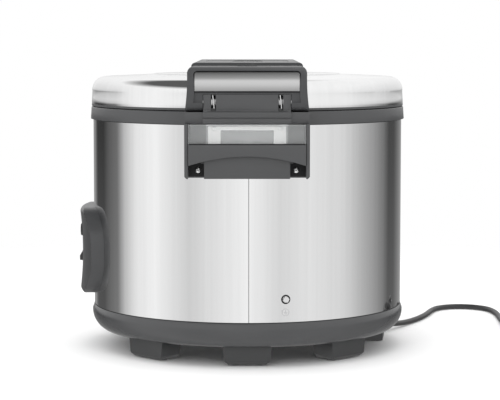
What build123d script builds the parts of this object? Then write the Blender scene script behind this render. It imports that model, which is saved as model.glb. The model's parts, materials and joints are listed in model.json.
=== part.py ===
"""Commercial rice cooker with a hinged lid: round steel body, plastic base, dew collector at the rear.

Millimetres. The origin is on the body axis in the standing plane, +Z up. The hinge and the dew
collector are at +Y, the latch at -Y, the control panel at +X, and the mains lead leaves at -X.
"""
import os
from math import cos, pi, radians, sin, tan

from build123d import *

# ---- driving dimensions: body ----
body_radius = 215.0          # outside of the steel shell
shell_wall = 1.0
shell_height = 258.0
foot_height = 27.0
base_height = 33.0           # plastic base pan, above the feet
base_wall = 3.0
base_bulge = 2.6             # how far the base stands out beyond the shell
base_lip_inset = 11.0        # lower edge of the base inside the shell line
rim_height = 17.0
rim_wall = 3.5
rim_deck = 4.0
liner_wall = 1.0
liner_gap = 20.0             # liner floor above the base floor

# ---- feet ----
foot_angles = (0, 44, 136, 180, 224, 316)   # from the rear, about the axis
foot_width_top = 65.0
foot_width_bottom = 60.0
foot_depth = 35.0
foot_inset = 19.0            # outer face of a foot inside the shell line
foot_nub_radius = 6.0
foot_nub_height = 2.0

# ---- pot, heater and sensor ----
pot_radius = 165.0
pot_wall = 2.0
pot_flange = 16.0
pot_corner = 24.0
liner_clearance = 6.0
plate_radius = 120.0
plate_thickness = 12.0
plate_lift = 18.0            # heating plate above the liner floor
element_radius = 84.0
element_size = 7.0
sensor_radius = 19.0
sensor_travel = 3.0
sensor_stem_radius = 6.0
plunger_radius = 5.5
plunger_travel = 3.0
band_height = 40.0

# ---- lid ----
lid_gap = 1.0                # dark line between rim and lid
lid_seat_height = 3.0
lid_side_height = 17.0
lid_side_lean = 0.9          # how far the upright side leans in at its top
lid_overhang = 2.0           # lid beyond the shell line
lid_shoulder_inset = 16.0    # shoulder inside the shell line
lid_shoulder_height = 40.0   # shoulder above the lid's lower edge
plateau_radius = 130.0
plateau_height = 43.0        # plateau above the lid's lower edge
plateau_step = 1.2
lid_wall = 1.2
gasket_width = 7.0

# ---- bridge, vent and latch ----
bridge_width = 145.0
bridge_rise = 17.0           # above the plateau
bridge_wall = 3.0
bridge_rear_inset = 25.0
bridge_front_reach = 12.0    # front end beyond the shell line
bridge_corner = 5.0
bridge_bend = 46.0           # length of the curve down to the front end
bridge_drop = 20.0
bridge_foot = 9.0            # its lower edge above the lid's lower edge
dish_radius = 900.0
dish_depth = 2.2
dish_margin = 15.0
vent_offset = 60.0           # towards the front
vent_cap_radius = 21.5
vent_stem_radius = 11.5
seal_height = 2.5
button_width = 46.0
button_height = 12.0
hook_width = 18.0

# ---- hinge ----
hinge_behind = 10.0          # hinge axis behind the shell line
hinge_lift = 13.0            # hinge axis above the rim
barrel_radius = 13.0
barrel_width = 112.0
block_reach = 9.0            # rear face of the hinge block behind its axis
block_ledge = 2.5            # low foot of the block that keeps the full depth
hinge_pin_radius = 4.0
hinge_pin_length = 146.0
knuckle_radius = 9.0
knuckle_width = 3.5
cheek_reach = 12.0           # cover behind the hinge axis
cover_over_top = 4.0         # cover beyond the bridge on each side, at its top
cover_over_foot = 7.0        # and at its foot
cover_corner = 9.0
cover_cheek = 8.0            # frame on each side of the recessed rear face
cover_frame = 3.0            # its depth
cover_rise = 13.2            # cover above the plateau
spring_offset = 43.0
spring_width = 12.0
spring_slot = 6.0

# ---- dew collector ----
bracket_wall = 4.6
bracket_height = 70.0
bracket_chamfer = 4.0
bracket_depth = 28.0         # behind the shell
bracket_back = 4.0
cup_wall = 1.6
cup_height = 40.0
grip_height = 27.0
grip_arch = 12.0
apron_inset = 20.4           # apron ends inside the pocket walls
grip_thickness = 3.5
rear_screw_inset = 12.4      # screws inside the pocket walls
rear_screw_rise = 10.0       # and above the bracket's lower edge
rear_screw_head_radius = 3.9

# ---- control panel ----
panel_width = 182.0
panel_height = 119.0
panel_bottom = 77.0
panel_corner = 50.0
panel_proud = 19.0
panel_waist = 3.0            # how far its face curves in at mid height
panel_wall = 3.0
lens_radius = 7.0
lens_spread = 22.0
lever_width = 9.0
lever_pivot_radius = 2.5

# ---- earth terminal ----
stud_angle = 13.4            # from the rear towards -X
stud_height = 91.0
stud_radius = 2.5
stud_head_radius = 4.2
stud_washer_radius = 6.2
mark_drop = 17.0
mark_radius = 5.7

# ---- mains lead ----
cord_radius = 4.0
relief_length = 30.0
relief_base_radius = 7.5
relief_tip_radius = 4.8
cord_exit_height = 12.0
cord_drop_run = 44.0         # from the relief's tip to the floor bend
cord_drop_z = 7.0
coil_centre = (-438.0, -115.0)
coil_mean_radius = 46.0
coil_pitch = 8.6             # centre to centre of neighbouring turns
coil_columns = 3
coil_rows = 2
coil_lead = 36.0
plug_lead = 60.0
plug_length = 40.0
plug_width = 28.0

# ---- clearances ----
fit_gap = 0.05               # shaft in a bore, radial
slide_gap = 0.4              # between bodies that move past each other
seat_gap = 0.3               # soft seal or pressed face at rest

# ---- heights that follow ----
base_low = foot_height
base_high = base_low + base_height
shell_high = base_high + shell_height
rim_low = shell_high
rim_high = rim_low + rim_height
lid_low = rim_high + lid_gap
dome_low = lid_low + lid_seat_height
plateau_z = lid_low + plateau_height + plateau_step
bridge_high = plateau_z + bridge_rise
hinge_z = rim_high + hinge_lift
liner_low = base_low + base_wall + liner_gap
liner_inner = pot_radius + liner_clearance
liner_high = rim_high - rim_deck
plate_low = liner_low + liner_wall + plate_lift
plate_high = plate_low + plate_thickness
rim_outer = body_radius + rim_wall
rear_depth = body_radius - 20.0
base_lip_radius = body_radius - base_lip_inset
foot_face_radius = body_radius - foot_inset
lid_shoulder_radius = body_radius - lid_shoulder_inset
lid_side_radius = body_radius + lid_overhang
bridge_rear = body_radius - bridge_rear_inset
bridge_front = body_radius + bridge_front_reach
hinge_y = body_radius + hinge_behind
cover_width_top = bridge_width + 2 * cover_over_top
cover_width_bottom = bridge_width + 2 * cover_over_foot
cover_face = cover_width_top - 2 * cover_cheek
bracket_width = cover_width_bottom + 1.0
apron_half = bracket_width / 2 - bracket_wall - apron_inset
rear_screw_x = bracket_width / 2 - bracket_wall - rear_screw_inset

# ---- places that follow, part by part ----
base_screw_angles = (90, 210, 330)
base_screw_radius = liner_inner - 21.0
screw_shank_radius = 2.0
screw_head_height = 2.5
sensor_stem_low = liner_low + 10.0
lever_z = panel_bottom + 62.0
lens_z = panel_bottom + 86.0
panel_face_radius = body_radius + panel_proud - panel_waist
notch_half = barrel_width / 2 + 8.0
notch_front = hinge_y - barrel_radius - 6.0
inner_lid_z = dome_low + 3.0
lid_seat_inner = liner_inner + 12.0
button_z = lid_low + 30.0
hook_half = 1.8
hook_pivot = (-rim_outer - 1.1 - hook_half, lid_low + 18.0)
button_back = -bridge_front + 2.5
spring_outer = 8.0
barrel_half = barrel_width / 2 + 0.5
bracket_high = rim_low + 2.0
bracket_low = bracket_high - bracket_height
bracket_rear = body_radius + bracket_depth
pocket_half = bracket_width / 2 - bracket_wall
pocket_front = body_radius + bracket_back
rear_screw_z = bracket_low + rear_screw_rise
cup_high = bracket_high - 0.6
cup_low = cup_high - cup_height
cup_half = pocket_half - slide_gap
grip_high = cup_high - 25.5
outlet_corners = ((30.0 - foot_face_radius, -8.0), (4.0 - foot_face_radius, -8.0),
                  (-1.0 - foot_face_radius, -52.0), (23.0 - foot_face_radius, -66.0))
floor_z = cord_radius + 0.2
cord_route = [
    (-243.0, -161.0, floor_z),
    (-262.0, -197.0, floor_z),
    (-277.0, -236.0, floor_z),
    (-287.0, -274.0, floor_z),
    (-300.0, -302.0, floor_z),
    (-326.0, -318.0, floor_z),
    (-356.0, -314.0, floor_z),
    (-378.0, -292.0, floor_z),
    (-385.0, -261.0, floor_z),
    (-386.0, -225.0, floor_z),
    (-384.5, -188.0, floor_z),
]
coil_stub_z = 10.0
coil_low = 1.2
coil_entry_z = coil_low + cord_radius + 0.5
coil_width = (coil_columns - 1) * coil_pitch + 2 * cord_radius + 0.6
coil_height = (coil_rows - 1) * coil_pitch + 2 * cord_radius
coil_size = (coil_width, coil_height)
coil_outer_turn = coil_mean_radius + coil_pitch
plug_pin_offsets = (-6.35, 6.35)

HUGE = 1000.0                # longer than any piece, for cuts that go right through
ARC_CUT = 0.29               # how far a quarter round's middle lies inside its square corner
MIDDLE = (Align.CENTER, Align.CENTER, Align.MIN)


def disc(radius, low, high):
    """A round disc on the body axis."""
    return Pos(0, 0, low) * Cylinder(radius, high - low, align=MIDDLE)


def ring(inner, outer, low, high):
    """A round ring on the body axis."""
    return disc(outer, low, high) - disc(inner, low - 1, high + 1)


def block(x, y, z):
    """A box between two places along each axis."""
    centre = ((x[0] + x[1]) / 2, (y[0] + y[1]) / 2, (z[0] + z[1]) / 2)
    return Pos(*centre) * Box(x[1] - x[0], y[1] - y[0], z[1] - z[0])


def spun(lines):
    """A solid of revolution about the body axis from an outline of (radius, height)."""
    return revolve(Plane.XZ * make_face(lines), Axis.Z)


def across(lines, half_width, centre=0.0):
    """A (y, z) outline made solid along X."""
    return Pos(centre, 0, 0) * extrude(Plane.YZ * make_face(lines), half_width, both=True)


def rod_x(radius, x, y, z):
    """A round rod along X."""
    rod = Rot(0, 90, 0) * Cylinder(radius, x[1] - x[0], align=MIDDLE)
    return Pos(x[0], y, z) * rod


def rod_y(radius, x, y, z):
    """A round rod along Y."""
    rod = Rot(-90, 0, 0) * Cylinder(radius, y[1] - y[0], align=MIDDLE)
    return Pos(x, y[0], z) * rod


def at_angle(shape, angle):
    """A shape made at the rear, turned about the body axis; positive angles go towards -X."""
    return Rot(0, 0, angle) * shape


def loop(*points):
    """A closed outline of straight lines."""
    return Polyline(*points, close=True)


# ---- base and feet ----
def make_base_pan():
    bulge_radius = body_radius + base_bulge
    shoulder_z = base_high - 7

    def skin(inset):
        low = base_low + inset
        return (base_lip_radius - inset, low), (bulge_radius - inset, shoulder_z)

    def side_arc(inset):
        foot, shoulder = skin(inset)
        middle = (bulge_radius - inset - 3.2, foot[1] + 11)
        return ThreePointArc(foot, middle, shoulder)

    outer_foot, outer_top = skin(0)
    inner_foot, inner_top = skin(base_wall)
    outline = Line((0, base_low), outer_foot) + side_arc(0)
    outline += Polyline(outer_top, (body_radius, base_high), (body_radius - base_wall, base_high), inner_top)
    outline += side_arc(base_wall)
    outline += Polyline(inner_foot, (0, base_low + base_wall), (0, base_low))
    pan = spun(outline)
    slot = Pos(100, 0, base_low) * extrude(SlotOverall(60, 6), base_wall * 2 + 2, both=True)
    for step in range(12):
        pan -= Rot(0, 0, 15 + step * 30) * slot
    for angle in base_screw_angles:
        hole = disc(screw_shank_radius + fit_gap, base_low - 1, liner_low)
        pan -= at_angle(Pos(0, base_screw_radius, 0) * hole, angle)
    return pan


def make_base_screws():
    shapes = []
    for angle in base_screw_angles:
        screw = disc(rear_screw_head_radius, base_low - screw_head_height, base_low)
        screw += disc(screw_shank_radius, base_low - screw_head_height, liner_low)
        shapes.append(at_angle(Pos(0, base_screw_radius, 0) * screw, angle))
    return Compound(children=shapes)


def make_foot(angle):
    half_top = foot_width_top / 2
    half_low = foot_width_bottom / 2
    cut = 5.0
    low = foot_nub_height
    outline = loop((-half_top, base_low), (-half_low, low + cut), (-half_low + cut, low),
                   (half_low - cut, low), (half_low, low + cut), (half_top, base_low))
    foot = extrude(Plane.XZ * make_face(outline), foot_depth)
    foot = Pos(0, foot_face_radius, 0) * foot
    foot -= Pos(0, foot_face_radius, foot_nub_height) * Rot(45, 0, 0) * Box(HUGE, 5, 5)
    for side in (-1, 1):
        nub = disc(foot_nub_radius, 0, foot_nub_height)
        foot += Pos(side * foot_width_bottom / 4, foot_face_radius - foot_depth / 2, 0) * nub
    return at_angle(foot, angle)


# ---- steel body, rim and liner ----
def radial_hole(radius, angle, height):
    """A radial drill through the shell wall."""
    return at_angle(rod_y(radius, 0, (body_radius - 20, body_radius + 20), height), angle)


def make_outer_shell():
    shell = ring(body_radius - shell_wall, body_radius, base_high, shell_high)
    shell -= radial_hole(stud_radius + fit_gap, stud_angle, stud_height)
    for side in (-1, 1):
        depth = (rear_depth - 45, body_radius + 35)
        shell -= rod_y(screw_shank_radius + fit_gap, side * rear_screw_x, depth, rear_screw_z)
    window = block((body_radius - 20, body_radius + 20), (-30, 30), (panel_bottom + 20, panel_bottom + 70))
    return shell - window


def make_upper_rim():
    outline = loop((rim_outer, rim_low), (rim_outer - 1, rim_high - 1), (rim_outer - 2, rim_high),
                   (liner_inner, rim_high), (liner_inner, liner_high), (body_radius, liner_high),
                   (body_radius, rim_low))
    rim = spun(outline)
    rear = block((-cover_width_bottom / 2, cover_width_bottom / 2),
                 (hinge_y - 25, hinge_y + cheek_reach + 0.5), (rim_low + 2, rim_high))
    rear -= disc(body_radius + 0.5, rim_low - 1, rim_high + 1)
    groove = (rim_low + 8.5, rim_low + 10)
    rear -= block((-barrel_half, barrel_half), (hinge_y + cheek_reach - 1, HUGE), groove)
    for side in (-1, 1):
        ends = sorted((side * barrel_half, side * HUGE))
        rear -= block(ends, (hinge_y + block_reach, HUGE), (0, HUGE))
    rim += rear
    return rim


def make_inner_liner():
    outer = liner_inner + liner_wall
    liner = ring(liner_inner, outer, liner_low, liner_high)
    liner += ring(liner_inner, liner_inner + 20, liner_high - liner_wall, liner_high)
    liner += ring(sensor_stem_radius + 8, outer, liner_low, liner_low + liner_wall)
    return liner


def make_keep_warm_band():
    inner = liner_inner + liner_wall
    middle = (liner_low + liner_high) / 2
    band = ring(inner, inner + 2, middle - band_height / 2, middle + band_height / 2)
    return band - block((inner - 10, inner + 10), (-8, 8), (0, HUGE))


# ---- pot and heater ----
def make_inner_pot():
    low = plate_high

    def side(inset):
        reach = pot_radius - inset
        turn = pot_corner - inset
        floor = low + inset
        start = (reach - turn, floor)
        middle = (reach - turn + turn * sin(pi / 4), floor + turn - turn * cos(pi / 4))
        return start, middle, (reach, floor + turn)

    outer = side(0)
    inner = side(pot_wall)
    flange_radius = pot_radius + pot_flange
    flange_top = rim_high + pot_wall
    outline = Line((0, low), outer[0]) + ThreePointArc(*outer)
    outline += Polyline(outer[2], (pot_radius, rim_high), (flange_radius, rim_high),
                        (flange_radius, flange_top), (pot_radius - pot_wall, flange_top), inner[2])
    outline += ThreePointArc(*inner)
    outline += Polyline(inner[0], (0, low + pot_wall), (0, low))
    return spun(outline)


def make_heating_plate():
    plate = disc(plate_radius, plate_low, plate_high)
    plate -= disc(sensor_radius + slide_gap, plate_low - 1, plate_high + 1)
    for step in range(3):
        leg = disc(6, liner_low + liner_wall, plate_low)
        plate += at_angle(Pos(0, plate_radius - 12, 0) * leg, 60 + 120 * step)
    return plate


def make_heating_element():
    half = element_size / 2
    element = ring(element_radius - half, element_radius + half, plate_low - element_size, plate_low)
    return element - block((-10, 10), (0, HUGE), (0, HUGE))


def make_sensor_cap():
    high = plate_high - seat_gap
    cap = disc(sensor_radius, high - 9, high)
    cap += disc(sensor_stem_radius, sensor_stem_low, high - 9)
    return cap


def make_sensor_spring():
    low = liner_low + liner_wall
    high = plate_high - seat_gap - 9 - sensor_travel - seat_gap
    spring = ring(sensor_stem_radius + 1.5, sensor_stem_radius + 3.5, low, high)
    return spring + ring(sensor_stem_radius + 1.5, sensor_stem_radius + 9, low, low + 1)


def make_magnet_plunger():
    high = sensor_stem_low - sensor_travel - plunger_travel - 1
    return disc(plunger_radius, high - 14, high)


def make_plunger_guide():
    high = sensor_stem_low - sensor_travel - plunger_travel - 1
    guide = ring(plunger_radius + slide_gap, plunger_radius + 4, base_low + base_wall, high - 6)
    return guide


def make_thermal_fuse():
    z = plate_low - 6
    fuse = rod_y(3, -60, (-14, 14), z) + block((-64, -56), (-18, -14), (z - 3, plate_low))
    return fuse + block((-64, -56), (14, 18), (z - 3, plate_low))


def make_terminal_block():
    low = base_low + base_wall
    box = block((-188, -164), (-20, 20), (low, low + 14))
    for step in (-12, 0, 12):
        box -= Pos(-176, step, 0) * disc(3, low + 6, low + 20)
    return box


# ---- control panel at +X ----
def panel_solid(inset, inner_radius):
    """The panel's outer form, or its inside at a given inset."""
    proud = body_radius + panel_proud - inset
    low = panel_bottom + inset
    high = panel_bottom + panel_height - inset
    middle = (low + high) / 2
    soft = 7.0
    outline = Polyline((proud - soft, low), (inner_radius, low), (inner_radius, high), (proud - soft, high))
    cut = soft * ARC_CUT
    outline += ThreePointArc((proud - soft, high), (proud - cut, high - cut), (proud, high - soft))
    outline += ThreePointArc((proud, high - soft), (proud - panel_waist, middle), (proud, low + soft))
    outline += ThreePointArc((proud, low + soft), (proud - cut, low + cut), (proud - soft, low))
    band = spun(outline)
    face = RectangleRounded(panel_width - 2 * inset, high - low, panel_corner - inset)
    window = extrude(Plane.YZ * Pos(0, middle) * face, body_radius + 2 * panel_proud)
    return band & window


def lens_places():
    """Where the two lamp lenses sit along Y."""
    return (-lens_spread, lens_spread)


def make_control_panel():
    panel = panel_solid(0, body_radius) - panel_solid(panel_wall, body_radius - 5)
    panel -= block((body_radius, HUGE), (-lever_width / 2 - slide_gap, lever_width / 2 + slide_gap),
                   (lever_z - 34, lever_z + 2))
    for place in lens_places():
        panel -= rod_x(lens_radius + fit_gap, (body_radius, body_radius + 40), place, lens_z)
    for side in (-1, 1):
        y = side * (lever_width / 2 + 3.5)
        depth = (body_radius + 3, panel_face_radius - panel_wall + 0.5)
        boss = block(depth, (y - 2, y + 2), (lever_z - 5, lever_z + 5))
        panel += boss
    panel -= Pos(body_radius + 8, 0, lever_z) * Rot(90, 0, 0) * Cylinder(lever_pivot_radius + fit_gap, 40)
    return panel


def make_lens(place):
    inner = panel_face_radius - panel_wall - 4
    outer = (panel_face_radius ** 2 - lens_spread ** 2) ** 0.5 + 1.4
    lens = rod_x(lens_radius, (inner, outer), place, lens_z)
    return lens + rod_x(lens_radius + 2, (inner - 2, inner), place, lens_z)


def make_lever_pin():
    length = lever_width + 10
    return Pos(body_radius + 8, 0, lever_z) * Rot(90, 0, 0) * Cylinder(lever_pivot_radius, length)


def make_cook_lever():
    pivot_x = body_radius + 8
    tip_x = panel_face_radius + 5
    half = lever_width / 2
    arm = loop((pivot_x - 4, lever_z), (pivot_x, lever_z + 4), (pivot_x + 4, lever_z + 1),
               (tip_x, lever_z - 15), (tip_x, lever_z - 21), (tip_x - 5, lever_z - 22),
               (pivot_x - 2, lever_z - 4))
    lever = extrude(Plane.XZ * make_face(arm), half, both=True)
    return lever - Pos(pivot_x, 0, lever_z) * Rot(90, 0, 0) * Cylinder(lever_pivot_radius + fit_gap, 40)


def make_microswitch():
    low = panel_bottom + 8
    return block((body_radius + 1, body_radius + 12), (-14, 14), (low, low + 12))


# ---- lid ----
def dome_lines(inset):
    """The dome's skin from its lower edge to the axis, moved in by the inset."""
    side_radius = lid_side_radius - inset
    low = dome_low
    turn_z = dome_low + lid_side_height
    shoulder = (lid_shoulder_radius, lid_low + lid_shoulder_height - inset)
    middle = ((side_radius + shoulder[0]) / 2 + 4.2, (turn_z + shoulder[1]) / 2 + 3.6)
    edge = (plateau_radius + 3, lid_low + plateau_height - inset)
    step = (plateau_radius, plateau_z - inset)
    return (side_radius, low), (side_radius - lid_side_lean, turn_z), middle, shoulder, edge, step


def dome_outline(inset):
    """Lines and arc along the dome's skin."""
    foot, turn, middle, shoulder, edge, step = dome_lines(inset)
    top = (0, step[1])
    return Line(foot, turn) + ThreePointArc(turn, middle, shoulder) + Polyline(shoulder, edge, step, top)


def dome_solid(inset):
    """The full form under the dome's skin."""
    foot = dome_lines(inset)[0]
    top = (0, plateau_z - inset)
    return spun(dome_outline(inset) + Polyline(top, (0, dome_low), foot))


def hinge_notch():
    """The opening at the rear of the lid for the fixed hinge block."""
    return block((-notch_half, notch_half), (notch_front, HUGE), (lid_low - 5, hinge_z + barrel_radius - 1))


def latch_notch():
    """The opening at the front of the lid's skirt for the latch hook's pivot."""
    half = hook_width / 2 + 3
    return block((-half, half), (-HUGE, -body_radius + 8), (lid_low - 5, lid_low + 26))


def make_lid_shell():
    shell = dome_solid(0)
    shell -= dome_solid(lid_wall) + disc(lid_side_radius - lid_wall, dome_low - 1, dome_low + 1)
    shell -= hinge_notch()
    shell -= latch_notch()
    shell -= Pos(0, -vent_offset, 0) * disc(vent_stem_radius + slide_gap, plateau_z - 10, plateau_z + 10)
    return shell


def make_lid_rim():
    outer = lid_side_radius
    wall_inner = lid_seat_inner + 13
    step_z = inner_lid_z + 4
    outline = loop((outer, lid_low), (outer, dome_low), (wall_inner + 3, dome_low),
                   (wall_inner + 3, step_z), (wall_inner, step_z), (wall_inner, inner_lid_z),
                   (lid_seat_inner, inner_lid_z), (lid_seat_inner, dome_low), (wall_inner, dome_low),
                   (wall_inner, lid_low))
    return spun(outline) - hinge_notch() - latch_notch()


def make_inner_lid():
    plate = disc(lid_seat_inner + 12.5, inner_lid_z, inner_lid_z + 1)
    return plate - Pos(0, -vent_offset, 0) * disc(8, inner_lid_z - 1, inner_lid_z + 5)


def make_lid_gasket():
    outer = pot_radius + pot_flange - 2
    low = rim_high + pot_wall + seat_gap
    lower = ring(outer - gasket_width, outer, low, inner_lid_z)
    return lower


def make_inner_lid_post():
    """The post that carries the inner lid under the dome."""
    return ring(2, 7, inner_lid_z + 1, plateau_z - lid_wall)


def bridge_form(inset):
    """The bridge's rounded form, or its inside at an inset."""
    half = bridge_width / 2 - inset
    high = bridge_high - inset
    corner = bridge_corner - inset
    low = lid_low + bridge_foot + inset
    section = Polyline((half, low), (-half, low), (-half, high - corner))
    section += ThreePointArc((-half, high - corner), (-half + corner * ARC_CUT, high - corner * ARC_CUT),
                             (-half + corner, high))
    section += Line((-half + corner, high), (half - corner, high))
    section += ThreePointArc((half - corner, high), (half - corner * ARC_CUT, high - corner * ARC_CUT),
                             (half, high - corner))
    section += Line((half, high - corner), (half, low))
    along = extrude(Plane.XZ * make_face(section), HUGE, both=True)
    front = -bridge_front + inset
    knee = (front + bridge_bend, high)
    nose = (front, high - bridge_drop)
    side = Polyline((front, low), (bridge_rear, low), (bridge_rear, high), knee)
    side += ThreePointArc(knee, (front + bridge_bend * 0.26, high - bridge_drop * 0.3), nose)
    side += Line(nose, (front, low))
    return along & across(side, bridge_width)


def make_lid_bridge():
    bridge = bridge_form(0) - dome_solid(0)
    inside = bridge_form(bridge_wall) - block((-HUGE, HUGE), (bridge_rear - bridge_wall, HUGE), (0, HUGE))
    bridge -= inside
    bridge -= Pos(0, -vent_offset, 0) * disc(vent_cap_radius + slide_gap, plateau_z, bridge_high + 5)
    half = button_width / 2 + slide_gap
    bridge -= block((-half, half), (-bridge_front - 5, -bridge_front + 8),
                    (button_z - button_height / 2 - slide_gap, button_z + button_height / 2 + slide_gap))
    half = hook_width / 2 + 1.5
    bridge -= block((-half, half), (-bridge_front + bridge_wall, -body_radius + 10), (0, lid_low + 14))
    dish = Rot(0, 90, 0) * Cylinder(dish_radius, bridge_width - 2 * dish_margin)
    dish = Pos(0, -20, bridge_high + dish_radius - dish_depth) * dish
    bridge -= dish & block((-HUGE, HUGE), (-80, 150), (bridge_high - 4, bridge_high + 5))
    return bridge


def make_vent_seal():
    seal = ring(vent_stem_radius + 1, vent_cap_radius - 1.5, plateau_z, plateau_z + seal_height)
    return Pos(0, -vent_offset, 0) * seal


def make_vent_cap():
    low = plateau_z + seal_height + seat_gap
    cap = disc(vent_cap_radius, low, bridge_high - 0.6)
    cap += disc(vent_stem_radius, plateau_z - 14, low)
    cap -= disc(vent_stem_radius - 2, plateau_z - 15, low + 3)
    groove = ring(vent_cap_radius * 0.55, vent_cap_radius * 0.7, bridge_high - 2, bridge_high + 1)
    cap -= groove
    return Pos(0, -vent_offset, 0) * cap


# ---- latch at the front ----


def make_latch_button():
    half = button_width / 2
    low = button_z - button_height / 2
    high = button_z + button_height / 2
    return block((-half, half), (-bridge_front - 1.5, button_back), (low, high))


def make_latch_hook():
    y, z = hook_pivot
    low = rim_low + 4
    front = y - hook_half
    plate = loop((front, z + 2.5), (y + hook_half, z + 2.5), (y + hook_half, low), (front, low))
    hook = across(plate, hook_width / 2)
    return hook - rod_x(1.5 + fit_gap, (-20, 20), y, z)


def make_latch_pin():
    y, z = hook_pivot
    half = hook_width / 2 + 1.5
    return rod_x(1.5, (-half, half), y, z)


def make_latch_keeper():
    back = -rim_outer
    keeper = block((-14, 14), (back - 0.4, back + 1.5), (rim_low + 3, rim_high - 4))
    return keeper - make_upper_rim()


# ---- hinge ----
def make_hinge_block():
    half = barrel_width / 2
    front = hinge_y - barrel_radius
    back = hinge_y + block_reach
    ledge = hinge_y + cheek_reach
    ledge_z = rim_high + block_ledge
    turn_z = hinge_z + (barrel_radius ** 2 - block_reach ** 2) ** 0.5
    outline = Polyline((front, hinge_z), (front, rim_high), (ledge, rim_high), (ledge, ledge_z),
                       (back, ledge_z), (back, turn_z))
    top = ThreePointArc((back, turn_z), (hinge_y, hinge_z + barrel_radius), (front, hinge_z))
    base = across(outline + top, half)
    base -= rod_x(hinge_pin_radius + fit_gap, (-HUGE, HUGE), hinge_y, hinge_z)
    for side in (-1, 1):
        x = side * spring_offset
        pocket = (x - spring_width / 2, x + spring_width / 2)
        base -= rod_x(spring_outer + 0.5, pocket, hinge_y, hinge_z)
        slot = (x - spring_slot / 2, x + spring_slot / 2)
        base -= block(slot, (hinge_y + 4, HUGE), (rim_high + 1, HUGE))
    return base


def make_hinge_spring(side):
    x = side * spring_offset
    width = spring_width - 1
    coil = rod_x(spring_outer, (x - width / 2, x + width / 2), hinge_y, hinge_z)
    coil -= rod_x(hinge_pin_radius + 0.6, (-HUGE, HUGE), hinge_y, hinge_z)
    leg = block((x - 1.2, x + 1.2), (hinge_y + 6, hinge_y + 8.4), (rim_high + 2, hinge_z + 9))
    return coil + leg


def make_hinge_pin():
    half = hinge_pin_length / 2
    return rod_x(hinge_pin_radius, (-half, half), hinge_y, hinge_z)


def knuckle_solid(side):
    """One arm of the lid's hinge bracket."""
    inner = barrel_width / 2 + 3
    centre = side * (inner + knuckle_width / 2)
    arm = loop((notch_front - 8, hinge_z - 1.5), (hinge_y, hinge_z - 8), (hinge_y, hinge_z + 8),
               (notch_front - 8, hinge_z + 12))
    plate = across(arm, knuckle_width / 2, centre)
    span = (centre - knuckle_width / 2, centre + knuckle_width / 2)
    return plate + rod_x(knuckle_radius, span, hinge_y, hinge_z)


def make_hinge_bracket():
    reach = barrel_width / 2 + 3 + knuckle_width
    bracket = block((-reach, reach), (notch_front - 8, notch_front - 5), (hinge_z - 1.5, hinge_z + 12))
    bracket += knuckle_solid(-1) + knuckle_solid(1)
    return bracket - rod_x(hinge_pin_radius + fit_gap, (-HUGE, HUGE), hinge_y, hinge_z)


def cover_side(inset, low):
    """The hinge cover's (y, z) outline down to a height, moved in by the inset."""
    high = plateau_z + cover_rise - inset
    back = hinge_y + cheek_reach - inset
    start = hinge_y - 14
    side = Polyline((back, low), (bridge_rear, low), (bridge_rear, high), (start, high))
    side += ThreePointArc((start, high), (back - 6.5, high - 8), (back, high - 27))
    return side + Line((back, high - 27), (back, low))


def cover_section(width_top, width_low, low, high, corner):
    """The hinge cover's (x, z) outline: flared sides and rounded upper corners."""
    top = width_top / 2
    foot = width_low / 2
    waist = (top + foot) / 2 - 1.2
    middle = (low + high) / 2 - 4
    cut = corner * ARC_CUT
    section = Line((foot, low), (-foot, low))
    section += ThreePointArc((-foot, low), (-waist, middle), (-top, high - corner))
    section += ThreePointArc((-top, high - corner), (-top + cut, high - cut), (-top + corner, high))
    section += Line((-top + corner, high), (top - corner, high))
    section += ThreePointArc((top - corner, high), (top - cut, high - cut), (top, high - corner))
    return section + ThreePointArc((top, high - corner), (waist, middle), (foot, low))


def cover_form():
    """The hinge cover's outer form: flared cheeks, rounded upper corners, convex rear face."""
    high = plateau_z + cover_rise
    low = hinge_z - cheek_reach
    section = cover_section(cover_width_top, cover_width_bottom, low, high, cover_corner)
    along = extrude(Plane.XZ * make_face(section), HUGE, both=True)
    form = along & across(cover_side(0, low), cover_width_bottom)
    under = block((-HUGE, HUGE), (hinge_y, HUGE), (0, hinge_z))
    return form - (under - rod_x(cheek_reach, (-HUGE, HUGE), hinge_y, hinge_z))


def cover_recess():
    """The shallow recess that frames the cover's convex rear face."""
    low = hinge_z - 30
    skin = across(cover_side(-1, low), cover_width_bottom)
    skin -= across(cover_side(cover_frame, low), cover_width_bottom)
    high = plateau_z + cover_rise - 6
    section = cover_section(cover_face, cover_face, hinge_z - 1, high, 5)
    window = extrude(Plane.XZ * make_face(section), HUGE, both=True)
    return skin & window & block((-HUGE, HUGE), (hinge_y - 12, HUGE), (0, HUGE))


def make_hinge_cover():
    cover = cover_form() - dome_solid(0) - disc(lid_side_radius, lid_low, dome_low)
    room = rod_x(barrel_radius + slide_gap, (-barrel_half, barrel_half), hinge_y, hinge_z)
    room += block((-barrel_half, barrel_half), (notch_front, HUGE), (0, hinge_z))
    room_high = hinge_z + barrel_radius + slide_gap
    room += block((-barrel_half, barrel_half), (notch_front, hinge_y), (hinge_z - 1, room_high))
    cover -= room
    cover -= cover_recess()
    cover -= knuckle_solid(-1) + knuckle_solid(1)
    half = hinge_pin_length / 2 + 0.5
    cover -= rod_x(hinge_pin_radius + fit_gap, (-half, half), hinge_y, hinge_z)
    return cover


# ---- dew collector at the rear ----


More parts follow.
